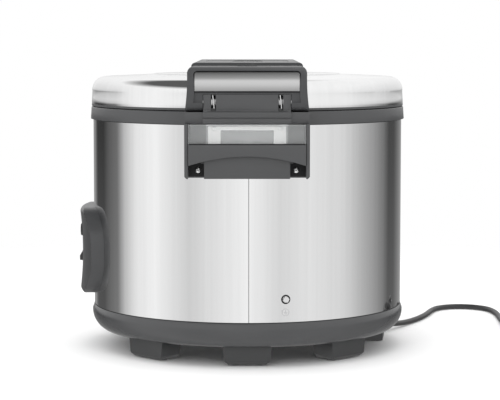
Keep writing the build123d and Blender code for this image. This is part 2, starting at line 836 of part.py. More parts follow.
def make_collector_bracket():
    half = bracket_width / 2
    bracket = block((-half, half), (rear_depth - 5, bracket_rear), (bracket_low, bracket_high))
    bracket -= disc(body_radius, bracket_low - 1, bracket_high + 1)
    bracket -= disc(rim_outer, rim_low, bracket_high + 1)
    bracket -= block((-pocket_half, pocket_half), (pocket_front, HUGE), (0, HUGE))
    for side in (-1, 1):
        ledge = sorted((side * pocket_half, side * (pocket_half - 7)))
        ledge_z = cup_low - slide_gap
        bracket += block(ledge, (pocket_front - 1, bracket_rear - 3), (ledge_z - 3, ledge_z))
        corner = Rot(0, 45, 0) * Box(bracket_chamfer, HUGE, bracket_chamfer)
        corner = Pos(side * half, 0, bracket_low) * corner
        bracket -= corner
        bracket -= rod_y(screw_shank_radius + fit_gap, side * rear_screw_x, (rear_depth, HUGE), rear_screw_z)
    apron = block((-apron_half, apron_half), (pocket_front - 1, bracket_rear - 4), (bracket_low, cup_low - 1))
    return bracket + apron


def make_rear_screws():
    shapes = []
    for side in (-1, 1):
        x = side * rear_screw_x
        head_span = (pocket_front, pocket_front + screw_head_height)
        head = rod_y(rear_screw_head_radius, x, head_span, rear_screw_z)
        shapes.append(head + rod_y(screw_shank_radius, x, (rear_depth, pocket_front), rear_screw_z))
    return Compound(children=shapes)


def make_collector_cup():
    front = pocket_front + slide_gap
    back = bracket_rear - 0.5
    cup = block((-cup_half, cup_half), (front, back), (cup_low, cup_high))
    hollow_x = (-cup_half + cup_wall, cup_half - cup_wall)
    return cup - block(hollow_x, (front + cup_wall, back - cup_wall), (cup_low + cup_wall, HUGE))


def make_collector_grip():
    front = bracket_rear - 0.5
    low = grip_high - grip_height
    outline = Polyline((-cup_half, low), (-cup_half, grip_high), (cup_half, grip_high), (cup_half, low))
    outline += ThreePointArc((cup_half, low), (0, low + grip_arch), (-cup_half, low))
    grip = extrude(Plane.XZ * make_face(outline), -grip_thickness)
    return Pos(0, front, 0) * grip


def make_cup_baffle():
    front = pocket_front + slide_gap + cup_wall + 2
    low = cup_low + cup_wall
    baffle = block((-50, 50), (front, front + 2.5), (low, cup_high - 3))
    return baffle - block((-34, 34), (front - 1, front + 4), (low + 1, cup_high - 8))


# ---- earth terminal ----
def make_earth_stud():
    back = body_radius + 1.2
    stud = rod_y(stud_radius, 0, (body_radius - 12, back + 1), stud_height)
    head = Pos(0, back, stud_height) * Rot(-90, 0, 0) * extrude(RegularPolygon(stud_head_radius, 6), 3.2)
    return at_angle(stud + head, stud_angle)


def make_earth_washer():
    washer = rod_y(stud_washer_radius, 0, (body_radius, body_radius + 1.2), stud_height)
    return at_angle(washer - rod_y(stud_radius + fit_gap, 0, (rear_depth, HUGE), stud_height), stud_angle)


def make_earth_mark():
    mark = rod_y(mark_radius, 0, (body_radius - 0.1, body_radius + 0.8), stud_height - mark_drop)
    return at_angle(mark - disc(body_radius, 0, HUGE), stud_angle)


# ---- mains lead ----


def exit_line():
    """Centre of the outlet's face and the direction the lead leaves in."""
    (x1, y1), (x2, y2) = outlet_corners[2], outlet_corners[3]
    length = ((x2 - x1) ** 2 + (y2 - y1) ** 2) ** 0.5
    centre = Vector((x1 + x2) / 2, (y1 + y2) / 2, cord_exit_height)
    return centre, Vector((y2 - y1) / length, -(x2 - x1) / length, 0)


def make_cord_outlet():
    outlet = Pos(0, 0, 1) * extrude(make_face(loop(*outlet_corners)), foot_height - 1)
    centre, way = exit_line()
    bore = Plane(origin=centre, z_dir=way) * Cylinder(cord_radius + 1, 20)
    return outlet - bore


def make_strain_relief():
    centre, way = exit_line()
    cone = Cone(relief_base_radius, relief_tip_radius, relief_length, align=MIDDLE)
    bore = Cylinder(cord_radius, relief_length * 3)
    core = Pos(0, 0, relief_length / 2) * Cylinder(cord_radius, relief_length)
    return Plane(origin=centre, z_dir=way) * (cone - bore + core)


def cord_points():
    """The lead's route from the strain relief to the coil."""
    centre, way = exit_line()
    start = centre + way * relief_length
    drop = start + way * cord_drop_run
    coil_x = coil_centre[0] + coil_outer_turn
    end = (coil_x, coil_centre[1] - coil_lead, coil_entry_z)
    return [tuple(start), (drop.X, drop.Y, cord_drop_z)] + cord_route + [end]


def corner_radii(points):
    """Each corner's largest smooth arc: 0.45 of the shorter run over the tangent of half the turn."""
    vectors = [Vector(*point) for point in points]
    radii = []
    for before, corner, after in zip(vectors, vectors[1:], vectors[2:]):
        run_in = corner - before
        run_out = after - corner
        turn = radians(run_in.get_angle(run_out))
        radii.append(0.45 * min(run_in.length, run_out.length) / tan(turn / 2))
    return radii


def make_power_cord():
    points = cord_points()
    radii = corner_radii(points)
    print("cord radii", [round(radius) for radius in radii])
    path = FilletPolyline(*points, radius=radii)
    section = Plane(origin=path @ 0, z_dir=path % 0) * Circle(cord_radius)
    cord = sweep(section, path=path)
    print("cord length", round(path.length), "volume ratio",
          round(cord.volume / (pi * cord_radius ** 2 * path.length), 4))
    return cord


def make_cord_coil():
    x, y = coil_centre
    half = coil_size[0] / 2
    coil = ring(coil_mean_radius - half, coil_mean_radius + half, coil_low, coil_low + coil_size[1])
    coil = Pos(x, y, 0) * coil
    coil += rod_y(cord_radius, x + coil_outer_turn, (y - coil_lead, y), coil_entry_z)
    coil += rod_y(cord_radius, x - coil_outer_turn, (y - plug_lead, y), coil_stub_z)
    return coil


def make_coil_tie():
    x, y = coil_centre
    band = 1.2
    half = coil_size[0] / 2 + 2 * seat_gap
    middle = y + coil_mean_radius
    high = coil_low + coil_size[1]
    tie = block((x - 5, x + 5), (middle - half - band, middle + half + band), (coil_low - band, high + band))
    return tie - block((x - 6, x + 6), (middle - half, middle + half), (coil_low, high))


def make_plug():
    x = coil_centre[0] - coil_outer_turn
    back = coil_centre[1] - plug_lead
    half = plug_width / 2
    body = block((x - half, x + half), (back - plug_length, back), (0, 2 * coil_stub_z))
    body = chamfer(body.edges().filter_by(Axis.Y), 5)
    for offset in plug_pin_offsets:
        body -= block((x + offset - 3.1, x + offset + 3.1), (back - plug_length - 1, back - plug_length + 8),
                      (coil_stub_z - 0.85, coil_stub_z + 0.85))
    return body


def make_plug_pins():
    x = coil_centre[0] - coil_outer_turn
    face = coil_centre[1] - plug_lead - plug_length
    shapes = []
    for offset in plug_pin_offsets:
        shapes.append(block((x + offset - 3.1, x + offset + 3.1), (face - 17, face + 8),
                            (coil_stub_z - 0.8, coil_stub_z + 0.8)))
    return Compound(children=shapes)


def make_parts():
    """Every named piece of the cooker."""
    parts = {
        "base_pan": make_base_pan(),
        "base_screws": make_base_screws(),
        "outer_shell": make_outer_shell(),
        "upper_rim": make_upper_rim(),
        "inner_liner": make_inner_liner(),
        "keep_warm_band": make_keep_warm_band(),
        "inner_pot": make_inner_pot(),
        "heating_plate": make_heating_plate(),
        "heating_element": make_heating_element(),
        "sensor_cap": make_sensor_cap(),
        "sensor_spring": make_sensor_spring(),
        "magnet_plunger": make_magnet_plunger(),
        "plunger_guide": make_plunger_guide(),
        "thermal_fuse": make_thermal_fuse(),
        "terminal_block": make_terminal_block(),
        "control_panel": make_control_panel(),
        "cook_lens": make_lens(lens_places()[0]),
        "warm_lens": make_lens(lens_places()[1]),
        "lever_pin": make_lever_pin(),
        "cook_lever": make_cook_lever(),
        "microswitch": make_microswitch(),
        "lid_shell": make_lid_shell(),
        "lid_rim": make_lid_rim(),
        "inner_lid": make_inner_lid(),
        "inner_lid_post": make_inner_lid_post(),
        "lid_gasket": make_lid_gasket(),
        "lid_bridge": make_lid_bridge(),
        "vent_seal": make_vent_seal(),
        "vent_cap": make_vent_cap(),
        "latch_button": make_latch_button(),
        "latch_hook": make_latch_hook(),
        "latch_pin": make_latch_pin(),
        "latch_keeper": make_latch_keeper(),
        "hinge_block": make_hinge_block(),
        "hinge_pin": make_hinge_pin(),
        "hinge_spring_left": make_hinge_spring(1),
        "hinge_spring_right": make_hinge_spring(-1),
        "hinge_bracket": make_hinge_bracket(),
        "hinge_cover": make_hinge_cover(),
        "collector_bracket": make_collector_bracket(),
        "rear_screws": make_rear_screws(),
        "collector_cup": make_collector_cup(),
        "collector_grip": make_collector_grip(),
        "cup_baffle": make_cup_baffle(),
        "earth_stud": make_earth_stud(),
        "earth_washer": make_earth_washer(),
        "earth_mark": make_earth_mark(),
        "cord_outlet": make_cord_outlet(),
        "strain_relief": make_strain_relief(),
        "power_cord": make_power_cord(),
        "cord_coil": make_cord_coil(),
        "coil_tie": make_coil_tie(),
        "plug_body": make_plug(),
        "plug_pins": make_plug_pins(),
    }
    for number, angle in enumerate(foot_angles, start=1):
        parts[f"foot_{number}"] = make_foot(angle)
    return parts


os.makedirs("parts", exist_ok=True)
for name, shape in make_parts().items():
    export_step(shape, f"parts/{name}.step")
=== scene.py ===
"""Looks of a commercial rice cooker: finishes, mesh pieces, mains lead, studio and camera.

Metres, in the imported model's own frame: the origin on the body axis at the floor, +Z up, the hinge
and dew collector towards +Y, the control panel towards +X and the mains lead leaving at -X.
"""
import json
import logging
import math
from dataclasses import dataclass
from enum import Enum
from typing import Any, Optional, Sequence

import bmesh
import bpy
from mathutils import Matrix, Vector

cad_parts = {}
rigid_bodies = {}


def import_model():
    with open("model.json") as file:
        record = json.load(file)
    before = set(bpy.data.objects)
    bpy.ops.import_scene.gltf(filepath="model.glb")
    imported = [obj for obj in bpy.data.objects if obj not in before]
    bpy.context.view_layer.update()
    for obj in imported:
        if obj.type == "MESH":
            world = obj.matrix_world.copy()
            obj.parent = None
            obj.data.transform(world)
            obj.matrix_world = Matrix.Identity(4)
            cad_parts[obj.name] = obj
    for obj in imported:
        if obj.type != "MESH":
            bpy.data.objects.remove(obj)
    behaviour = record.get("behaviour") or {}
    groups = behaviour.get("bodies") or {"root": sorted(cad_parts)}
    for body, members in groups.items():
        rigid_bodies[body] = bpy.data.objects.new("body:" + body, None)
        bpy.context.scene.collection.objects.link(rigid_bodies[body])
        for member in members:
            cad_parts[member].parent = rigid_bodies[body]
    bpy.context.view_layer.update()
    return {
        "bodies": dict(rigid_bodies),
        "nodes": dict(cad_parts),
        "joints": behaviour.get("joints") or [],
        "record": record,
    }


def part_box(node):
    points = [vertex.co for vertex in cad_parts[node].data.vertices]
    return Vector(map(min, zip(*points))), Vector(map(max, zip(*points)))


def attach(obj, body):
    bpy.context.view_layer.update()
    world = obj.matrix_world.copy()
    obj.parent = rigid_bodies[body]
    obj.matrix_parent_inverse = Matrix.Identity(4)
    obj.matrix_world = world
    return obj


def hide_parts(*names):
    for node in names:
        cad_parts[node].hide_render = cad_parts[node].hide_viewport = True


log = logging.getLogger("rice_cooker")

Point = tuple[float, float, float]
Outline = list[tuple[float, float]]
FULL_TURN = 2 * math.pi
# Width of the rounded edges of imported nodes, in metres.
SOFT_EDGES = {
    "lid_bridge": 0.0009, "hinge_cover": 0.0009, "hinge_block": 0.0006, "upper_rim": 0.0005,
    "collector_bracket": 0.0005, "collector_grip": 0.0005, "base_pan": 0.0005, "control_panel": 0.0006,
    "lid_shell": 0.0003, "inner_pot": 0.0004, "cord_outlet": 0.0008, "heating_plate": 0.0006,
    **{f"foot_{number}": 0.0005 for number in range(1, 7)},
}
WELD_REACH = 0.00002


class Lay(Enum):
    """Direction of a sheet's polishing lines."""

    UPRIGHT = (160.0, 160.0, 1.6)
    LEVEL = (3.0, 3.0, 700.0)


# ---------------------------------------------------------------- shader maths


class Sock:
    """One value in a node tree, with arithmetic that adds Math nodes."""

    def __init__(self, tree: bpy.types.NodeTree, link: Any) -> None:
        """Keeps the tree and the output socket.

        Args:
            tree: The node tree that the value belongs to.
            link: The output socket that carries the value.
        """
        self.tree = tree
        self.link = link

    def _math(self, operation: str, first: Any, second: Any = None) -> "Sock":
        """Adds a Math node.

        Args:
            operation: The node's operation.
            first: First operand, a number or a Sock.
            second: Second operand, if the operation has one.

        Returns:
            The node's result.
        """
        node = self.tree.nodes.new("ShaderNodeMath")
        node.operation = operation
        for slot, value in enumerate((first, second)):
            if isinstance(value, Sock):
                self.tree.links.new(value.link, node.inputs[slot])
            elif value is not None:
                node.inputs[slot].default_value = value
        return Sock(self.tree, node.outputs[0])

    def __add__(self, other: Any) -> "Sock":
        """Sum."""
        return self._math("ADD", self, other)

    def __radd__(self, other: Any) -> "Sock":
        """Sum with a number on the left."""
        return self._math("ADD", other, self)

    def __sub__(self, other: Any) -> "Sock":
        """Difference."""
        return self._math("SUBTRACT", self, other)

    def __rsub__(self, other: Any) -> "Sock":
        """Difference with a number on the left."""
        return self._math("SUBTRACT", other, self)

    def __mul__(self, other: Any) -> "Sock":
        """Product."""
        return self._math("MULTIPLY", self, other)

    def __rmul__(self, other: Any) -> "Sock":
        """Product with a number on the left."""
        return self._math("MULTIPLY", other, self)

    def __truediv__(self, other: Any) -> "Sock":
        """Quotient."""
        return self._math("DIVIDE", self, other)

    def __rtruediv__(self, other: Any) -> "Sock":
        """Quotient with a number on top."""
        return self._math("DIVIDE", other, self)

    def absolute(self) -> "Sock":
        """Absolute value."""
        return self._math("ABSOLUTE", self)

    def clamp(self) -> "Sock":
        """Holds the value between 0 and 1.

        Returns:
            The held value.
        """
        held = self._math("ADD", self, 0.0)
        held.link.node.use_clamp = True
        return held


class Tree:
    """A node tree under construction."""

    def __init__(self, tree: bpy.types.NodeTree) -> None:
        """Keeps the tree and empties it."""
        self.tree = tree
        tree.nodes.clear()

    def node(self, kind: str, settings: Optional[dict[str, Any]] = None,
             sockets: Optional[dict[Any, Any]] = None, output: Any = 0) -> Sock:
        """Adds any node.

        Args:
            kind: The node's type name.
            settings: Attributes set first; "stops" fills a colour ramp.
            sockets: Values or Socks for the node's inputs, by name or number.
            output: Which output is returned, by name or number.

        Returns:
            The chosen output.
        """
        made = self.tree.nodes.new(kind)
        for name, value in (settings or {}).items():
            if name == "stops":
                self._fill_ramp(made.color_ramp, value)
            else:
                setattr(made, name, value)
        for name, value in (sockets or {}).items():
            if isinstance(value, Sock):
                self.tree.links.new(value.link, made.inputs[name])
            else:
                made.inputs[name].default_value = value
        return Sock(self.tree, made.outputs[output] if made.outputs else made)

    @staticmethod
    def _fill_ramp(ramp: bpy.types.ColorRamp, stops: Sequence[tuple[float, Any]]) -> None:
        """Sets a ramp's stops.

        Args:
            ramp: The colour ramp.
            stops: Pairs of a position and a grey level or a colour.
        """
        while len(ramp.elements) < len(stops):
            ramp.elements.new(0.5)
        for element, (place, value) in zip(ramp.elements, stops):
            element.position = place
            level = value if isinstance(value, tuple) else (value, value, value)
            element.color = (*level[:3], 1.0)

    def place(self) -> Sock:
        """Object coordinates, which are metres in the model's frame."""
        return self.node("ShaderNodeTexCoord", output="Object")

    def stretched(self, scale: Point) -> Sock:
        """Object coordinates scaled along each axis."""
        return self.node("ShaderNodeMapping", sockets={"Vector": self.place(), "Scale": scale})

    def noise(self, scale: float, detail: float = 3.0, rough: float = 0.5,
              where: Optional[Sock] = None) -> Sock:
        """A noise between 0 and 1.

        Args:
            scale: Features per metre.
            detail: Octaves.
            rough: Weight of the fine octaves.
            where: Coordinates; the model's own if left out.

        Returns:
            The noise value.
        """
        return self.node("ShaderNodeTexNoise", sockets={
            "Vector": where or self.place(), "Scale": scale, "Detail": detail, "Roughness": rough})

    def ramp(self, value: Sock, stops: Sequence[tuple[float, Any]]) -> Sock:
        """A value sent through a colour ramp."""
        return self.node("ShaderNodeValToRGB", {"stops": stops}, {"Fac": value})

    def axis(self, vector: Sock, name: str) -> Sock:
        """One component of a vector, by its letter."""
        return self.node("ShaderNodeSeparateXYZ", sockets={0: vector}, output=name)

    def mix(self, amount: Any, first: Any, second: Any) -> Sock:
        """A mix of two colours.

        Args:
            amount: Share of the second colour.
            first: First colour.
            second: Second colour.

        Returns:
            The mixed colour.
        """
        return self.node("ShaderNodeMix", {"data_type": "RGBA"},
                         {0: amount, 6: _colour(first), 7: _colour(second)}, output=2)

    def bump(self, height: Sock, depth: float, strength: float = 1.0) -> Sock:
        """A bump from a height.

        Args:
            height: Height between 0 and 1.
            depth: Depth of a full step, in metres.
            strength: Share of the bump that shows.

        Returns:
            The bumped normal.
        """
        return self.node("ShaderNodeBump", sockets={
            "Height": height, "Distance": depth, "Strength": strength})


def _colour(value: Any) -> Any:
    """Completes a plain colour.

    Args:
        value: A colour or a Sock.

    Returns:
        The colour with its alpha, or the Sock unchanged.
    """
    if isinstance(value, Sock):
        return value
    return (*value[:3], 1.0)


class Surface(Tree):
    """A material with one Principled shader."""

    def __init__(self, name: str, sockets: dict[str, Any]) -> None:
        """Starts the material.

        Args:
            name: The material's name.
            sockets: Constants of the shader's own inputs.
        """
        self.material = bpy.data.materials.new(name)
        self.material.use_nodes = True
        super().__init__(self.material.node_tree)
        self.shader = self.tree.nodes.new("ShaderNodeBsdfPrincipled")
        out = self.tree.nodes.new("ShaderNodeOutputMaterial")
        self.tree.links.new(self.shader.outputs[0], out.inputs["Surface"])
        for socket, value in sockets.items():
            self.shader.inputs[socket].default_value = value

    def feed(self, **links: Sock) -> "Surface":
        """Links values that change over the surface to the shader.

        Args:
            **links: Sockets by name, with underscores for spaces.

        Returns:
            This surface.
        """
        for name, value in links.items():
            self.tree.links.new(value.link, self.shader.inputs[name.replace("_", " ")])
        return self


# ---------------------------------------------------------------- finishes


@dataclass(frozen=True)
class SheetSteel:
    """Polished or satin stainless sheet with fine polishing lines and faint handling haze."""

    name: str
    tone: float = 0.60
    gloss: float = 0.16
    lay: Lay = Lay.UPRIGHT
    grain: float = 0.1
    lean: float = 0.0

    def make(self) -> bpy.types.Material:
        """Builds the material.

        Returns:
            The material.
        """
        made = Surface(self.name, {"Metallic": 1.0})
        lines = made.noise(1.0, 5.0, 0.65, made.stretched(self.lay.value))
        haze = made.noise(9.0, 4.0, 0.55)
        prints = made.noise(42.0, 5.0, 0.6)
        sheet = made.noise(5.0, 1.0, 0.4, made.stretched((1.0, 1.0, 0.35)))
        grey = made.ramp(lines, [(0.3, self.tone * 0.97), (0.7, self.tone * 1.02)])
        tint = made.mix(haze * 0.2, grey, (self.tone * 0.95, self.tone * 0.965, self.tone * 0.985))
        rough = self.gloss + (lines - 0.5) * 0.3 * self.grain + (haze - 0.5) * 0.04 + (prints - 0.5) * 0.03
        level = made.axis(made.place(), "Z")
        height = (sheet + lines * self.grain * 0.02) * 0.0006 - level * self.lean
        normal = made.bump(height, 1.0, 1.0)
        return made.feed(Base_Color=tint, Roughness=rough, Normal=normal).material


@dataclass(frozen=True)
class CastMetal:
    """Machined or spun aluminium, or plated steel."""

    name: str
    tone: Point = (0.6, 0.6, 0.61)
    gloss: float = 0.34
    rings: float = 0.0

    def make(self) -> bpy.types.Material:
        """Builds the material.

        Returns:
            The material.
        """
        made = Surface(self.name, {"Metallic": 1.0})
        grain = made.noise(260.0, 4.0, 0.6)
        cloud = made.noise(16.0, 3.0)
        dark = tuple(part * 0.86 for part in self.tone)
        tint = made.mix(cloud, self.tone, dark)
        height = grain
        if self.rings:
            turned = made.node("ShaderNodeTexWave", {"wave_type": "RINGS", "rings_direction": "Z"},
                               {"Vector": made.place(), "Scale": self.rings, "Distortion": 0.4}, output=1)
            height = grain * 0.3 + turned * 0.7
        rough = self.gloss + (grain - 0.5) * 0.12 + (cloud - 0.5) * 0.08
        return made.feed(Base_Color=tint, Roughness=rough, Normal=made.bump(height, 0.00004, 0.6)).material


@dataclass(frozen=True)
class Moulding:
    """Moulded plastic or rubber with a spark-eroded texture."""

    name: str
    tone: Point
    gloss: float = 0.42
    texture: float = 900.0
    depth: float = 0.00005
    scuff: float = 0.08
    shine: float = 0.5

    def make(self) -> bpy.types.Material:
        """Builds the material.

        Returns:
            The material.
        """
        made = Surface(self.name, {"Specular IOR Level": self.shine})
        erosion = made.noise(self.texture, 5.0, 0.65)
        cells = made.node("ShaderNodeTexVoronoi",
                          sockets={"Vector": made.place(), "Scale": self.texture * 1.2})
        cloud = made.noise(14.0, 3.0)
        rub = made.ramp(made.noise(55.0, 6.0, 0.7), [(0.55, 0.0), (0.78, 1.0)])
        light = tuple(min(1.0, part * 1.22 + 0.006) for part in self.tone)
        dark = tuple(part * 0.9 for part in self.tone)
        tint = made.mix(rub * self.scuff, made.mix(cloud, dark, self.tone), light)
        height = erosion * 0.6 + cells * 0.4
        rough = self.gloss + (erosion - 0.5) * 0.14 + (cloud - 0.5) * 0.08 - rub * 0.05
        normal = made.bump(height, self.depth, 0.7)
        return made.feed(Base_Color=tint, Roughness=rough, Normal=normal).material


@dataclass(frozen=True)
class ClearMoulding:
    """Clear or tinted see-through moulding."""

    name: str
    tone: Point = (0.95, 0.97, 0.97)
    alpha: float = 0.3
    gloss: float = 0.06
    glow: float = 0.0
    grey_beyond: float = 0.0

    def make(self) -> bpy.types.Material:
        """Builds the material.

        Returns:
            The material.
        """
        made = Surface(self.name, {"IOR": 1.49, "Emission Strength": self.glow})
        flow = made.noise(30.0, 4.0, 0.5, made.stretched((1.0, 1.0, 0.35)))
        mist = made.noise(120.0, 3.0)
        tint = made.mix(flow * 0.25, self.tone, tuple(part * 0.88 for part in self.tone))
        opacity = (self.alpha + (flow - 0.5) * 0.06).clamp()
        if self.grey_beyond:
            side = made.axis(made.place(), "X").absolute()
            ends = ((side - self.grey_beyond) * 900.0).clamp()
            tint = made.mix(ends, tint, (0.40, 0.41, 0.41))
            opacity = (opacity + ends * 0.10).clamp()
        rough = self.gloss + mist * 0.06
        made.feed(Base_Color=tint, Alpha=opacity, Roughness=rough, Normal=made.bump(flow, 0.0001, 0.25))
        if self.glow:
            made.feed(Emission_Color=tint)
        return made.material


@dataclass(frozen=True)
class TrimWithPaintedLight:
    """Silvery lacquered trim whose colour carries painted light: painted shade at its lower edge, a painted
    highlight band across its middle and a painted reflection of a dark ceiling gap darkening its upper edge.
    """

    name: str
    tone: float = 0.52
    low: float = 0.3617
    high: float = 0.3866

    def make(self) -> bpy.types.Material:
        """Builds the material.

        Returns:
            The material.
        """
        made = Surface(self.name, {"Metallic": 0.75, "Coat Roughness": 0.08, "Coat Weight": 0.4})
        level = made.axis(made.place(), "Z")
        share = ((level - self.low) / (self.high - self.low)).clamp()
        flake = made.noise(2400.0, 2.0)
        # Painted light by height: painted shade low down, a painted highlight in the middle, a painted
        # reflection of a dark gap at the top.
        tint = made.ramp(share, [(0.0, self.tone * 0.5), (0.3, self.tone * 0.85), (0.55, self.tone),
                                 (0.75, self.tone * 0.7), (1.0, self.tone * 0.25)])
        rough = 0.30 + (flake - 0.5) * 0.1
        return made.feed(Base_Color=tint, Roughness=rough, Normal=made.bump(flake, 0.00001, 0.3)).material


@dataclass(frozen=True)
class Backdrop:
    """Plain pale floor that thins out into the white of the room."""

    name: str = "studio_floor"
    fade_from: float = 0.6
    fade_to: float = 1.2

    def make(self) -> bpy.types.Material:
        """Builds the material.

        Returns:
            The material.
        """
        made = Surface(self.name, {"Roughness": 0.7, "Specular IOR Level": 0.1})
        soft = made.noise(3.0, 2.0)
        reach = made.node("ShaderNodeVectorMath", {"operation": "LENGTH"}, {0: made.place()}, output="Value")
        there = 1 - ((reach - self.fade_from) / (self.fade_to - self.fade_from)).clamp()
        return made.feed(Base_Color=made.ramp(soft, [(0.0, 0.90), (1.0, 0.92)]), Alpha=there).material


class Finishes:
    """Every finish of the object, made once and kept by its slot's name."""

    def __init__(self) -> None:
        """Makes the materials."""
        plastic = (0.055, 0.056, 0.058)
        makers = [
            SheetSteel("steel_polished", 0.72, 0.07),
            SheetSteel("lid_steel", 0.74, 0.09, lean=0.05),
            SheetSteel("steel_satin", 0.62, 0.26, Lay.LEVEL, 0.5),
            Moulding("base_plastic", plastic, 0.24),
            Moulding("rim_plastic", plastic, 0.34),
            Moulding("foot_plastic", (0.030, 0.031, 0.032), 0.4, depth=0.00005),
            Moulding("cover_plastic", (0.052, 0.053, 0.055), 0.34, 1400.0, 0.00001, 0.05, 0.3),
            # The cover plate's trim carries painted shade, highlight and reflection in its colour.
            TrimWithPaintedLight("cover_trim"),
            Moulding("panel_plastic", (0.045, 0.046, 0.048), 0.36),
            Moulding("lever_plastic", (0.018, 0.018, 0.019), 0.22, 1600.0, 0.00001),
            Moulding("switch_plastic", (0.012, 0.012, 0.013), 0.5, shine=0.2),
            ClearMoulding("lens_red", (0.62, 0.035, 0.02), 0.92, 0.08, 0.12),
            ClearMoulding("lens_amber", (0.85, 0.36, 0.03), 0.92, 0.08, 0.12),
            CastMetal("aluminium_cast", (0.58, 0.58, 0.59), 0.38, 60.0),
            CastMetal("aluminium_pot", (0.62, 0.62, 0.63), 0.30, 40.0),
            Moulding("seal_rubber", (0.46, 0.46, 0.44), 0.36, 500.0, 0.00003),
            ClearMoulding("clear_plastic", (0.9, 0.92, 0.92), 0.16, 0.05, 0.0, 0.0515),
            Moulding("white_plastic", (0.95, 0.95, 0.94), 0.3, 1200.0, 0.00001, 0.03),
            CastMetal("screw_steel", (0.80, 0.80, 0.80), 0.16),
            CastMetal("spring_steel", (0.68, 0.68, 0.68), 0.2),
            CastMetal("mark_plate", (0.78, 0.78, 0.78), 0.25),
            Moulding("cord_rubber", (0.028, 0.028, 0.029), 0.45, 1500.0, 0.00004, 0.12),
            Moulding("tie_plastic", (0.02, 0.02, 0.02), 0.38),
            Moulding("terminal_ceramic", (0.78, 0.74, 0.66), 0.4),
            CastMetal("heater_sheath", (0.25, 0.22, 0.2), 0.5),
        ]
        self.materials: dict[str, bpy.types.Material] = {maker.name: maker.make() for maker in makers}

    def __getitem__(self, slot: str) -> bpy.types.Material:
        """The material of a slot."""
        return self.materials[slot]

    def dress_frame(self, frame: dict[str, Any]) -> None:
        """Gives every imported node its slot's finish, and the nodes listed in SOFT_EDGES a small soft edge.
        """
        for part in frame["record"]["subparts"]:
            node = frame["nodes"][part["node"]]
            node.data.materials.clear()
            slot = "lid_steel" if part["node"] == "lid_shell" else part["material_slot"]
            node.data.materials.append(self[slot])
            if part["node"] in SOFT_EDGES:
                weld = node.modifiers.new("joined", "WELD")
                weld.merge_threshold = WELD_REACH
                soften(node, SOFT_EDGES[part["node"]], 3, 30.0)


# ---------------------------------------------------------------- mesh building


class Shape:
    """A mesh built with bmesh, then turned into a piece of the object."""

    def __init__(self) -> None:
        """Starts an empty mesh."""
        self.mesh = bmesh.new()

    def lathe(self, outline: Outline, steps: int = 192, start: float = 0.0, sweep: float = FULL_TURN,
              move: Optional[Matrix] = None) -> "Shape":
        """Turns a closed outline of (radius, height) about +Z.

        Args:
            outline: Corners of the section, in order.
            steps: Facets in the whole sweep.
            start: First angle, from +X.
            sweep: Angle turned through.
            move: Placement of the turned form.

        Returns:
            This shape.
        """
        whole = abs(sweep - FULL_TURN) < 1e-6
        count = steps if whole else steps + 1
        rings = []
        for step in range(count):
            angle = start + sweep * step / steps
            way = (math.cos(angle), math.sin(angle))
            points = [Vector((radius * way[0], radius * way[1], height)) for radius, height in outline]
            rings.append([self.mesh.verts.new(move @ point if move else point) for point in points])
        pairs = zip(rings, rings[1:] + rings[:1]) if whole else zip(rings, rings[1:])
        for here, there in pairs:
            for near in range(len(outline)):
                far = (near + 1) % len(outline)
                self.mesh.faces.new((here[near], there[near], there[far], here[far]))
        if not whole:
            self.mesh.faces.new(reversed(rings[0]))
            self.mesh.faces.new(rings[-1])
        return self

    def prism(self, outline: Outline, low: float, high: float, move: Optional[Matrix] = None) -> "Shape":
        """Makes a closed outline solid along its own +Z.

        Args:
            outline: Corners, in order.
            low: Lower level.
            high: Upper level.
            move: Placement of the prism.

        Returns:
            This shape.
        """
        levels = []
        for level in (low, high):
            points = [Vector((x, y, level)) for x, y in outline]
            levels.append([self.mesh.verts.new(move @ point if move else point) for point in points])
        bottom, top = levels
        self.mesh.faces.new(reversed(bottom))
        self.mesh.faces.new(top)
        for near in range(len(outline)):
            far = (near + 1) % len(outline)
            self.mesh.faces.new((bottom[near], bottom[far], top[far], top[near]))
        return self

    def box(self, low: Point, high: Point) -> "Shape":
        """A box between two corners."""
        corners = [(low[0], low[1]), (high[0], low[1]), (high[0], high[1]), (low[0], high[1])]
        return self.prism(corners, low[2], high[2])

    def tube(self, path: Sequence[Vector], radius: float, sides: int = 16) -> "Shape":
        """A round tube with closed ends along a path.

        Args:
            path: Centre points.
            radius: Outside radius.
            sides: Facets round it.

        Returns:
            This shape.
        """
        rings = []
        side = None
        for index, point in enumerate(path):
            ahead = path[min(index + 1, len(path) - 1)] - path[max(index - 1, 0)]
            way = ahead.normalized()
            if side is None:
                side = way.orthogonal().normalized()
            side = (side - way * side.dot(way)).normalized()
            up = way.cross(side)
            rings.append([point + (side * math.cos(angle) + up * math.sin(angle)) * radius
                          for angle in (FULL_TURN * step / sides for step in range(sides))])
        return self.skin(rings)

    def skin(self, rings: Sequence[Sequence[Point]]) -> "Shape":
        """Joins rings of equally many corners in order, and closes both ends.

        Args:
            rings: The corners of each ring.

        Returns:
            This shape.
        """
        knots = [[self.mesh.verts.new(corner) for corner in ring] for ring in rings]
        for here, there in zip(knots, knots[1:]):
            for near in range(len(here)):
                far = (near + 1) % len(here)
                self.mesh.faces.new((here[near], here[far], there[far], there[near]))
        self.mesh.faces.new(reversed(knots[0]))
        self.mesh.faces.new(knots[-1])
        return self

    def piece(self, name: str, finish: bpy.types.Material, bevel: float = 0.0, segments: int = 3,
              crease: float = 34.0) -> bpy.types.Object:
        """Finishes the mesh as an object.

        Args:
            name: The piece's name.
            finish: Its material.
            bevel: Width of its rounded edges, in metres; 0 leaves them sharp.
            segments: Facets of each rounded edge.
            crease: Edges sharper than this many degrees are rounded or kept sharp.

        Returns:
            The new object.
        """
        bmesh.ops.recalc_face_normals(self.mesh, faces=self.mesh.faces)
        data = bpy.data.meshes.new(name)
        self.mesh.to_mesh(data)
        self.mesh.free()
        made = bpy.data.objects.new(name, data)
        bpy.context.scene.collection.objects.link(made)
        data.materials.append(finish)
        if bevel:
            soften(made, bevel, segments, crease)
        shade(made, crease)
        return made


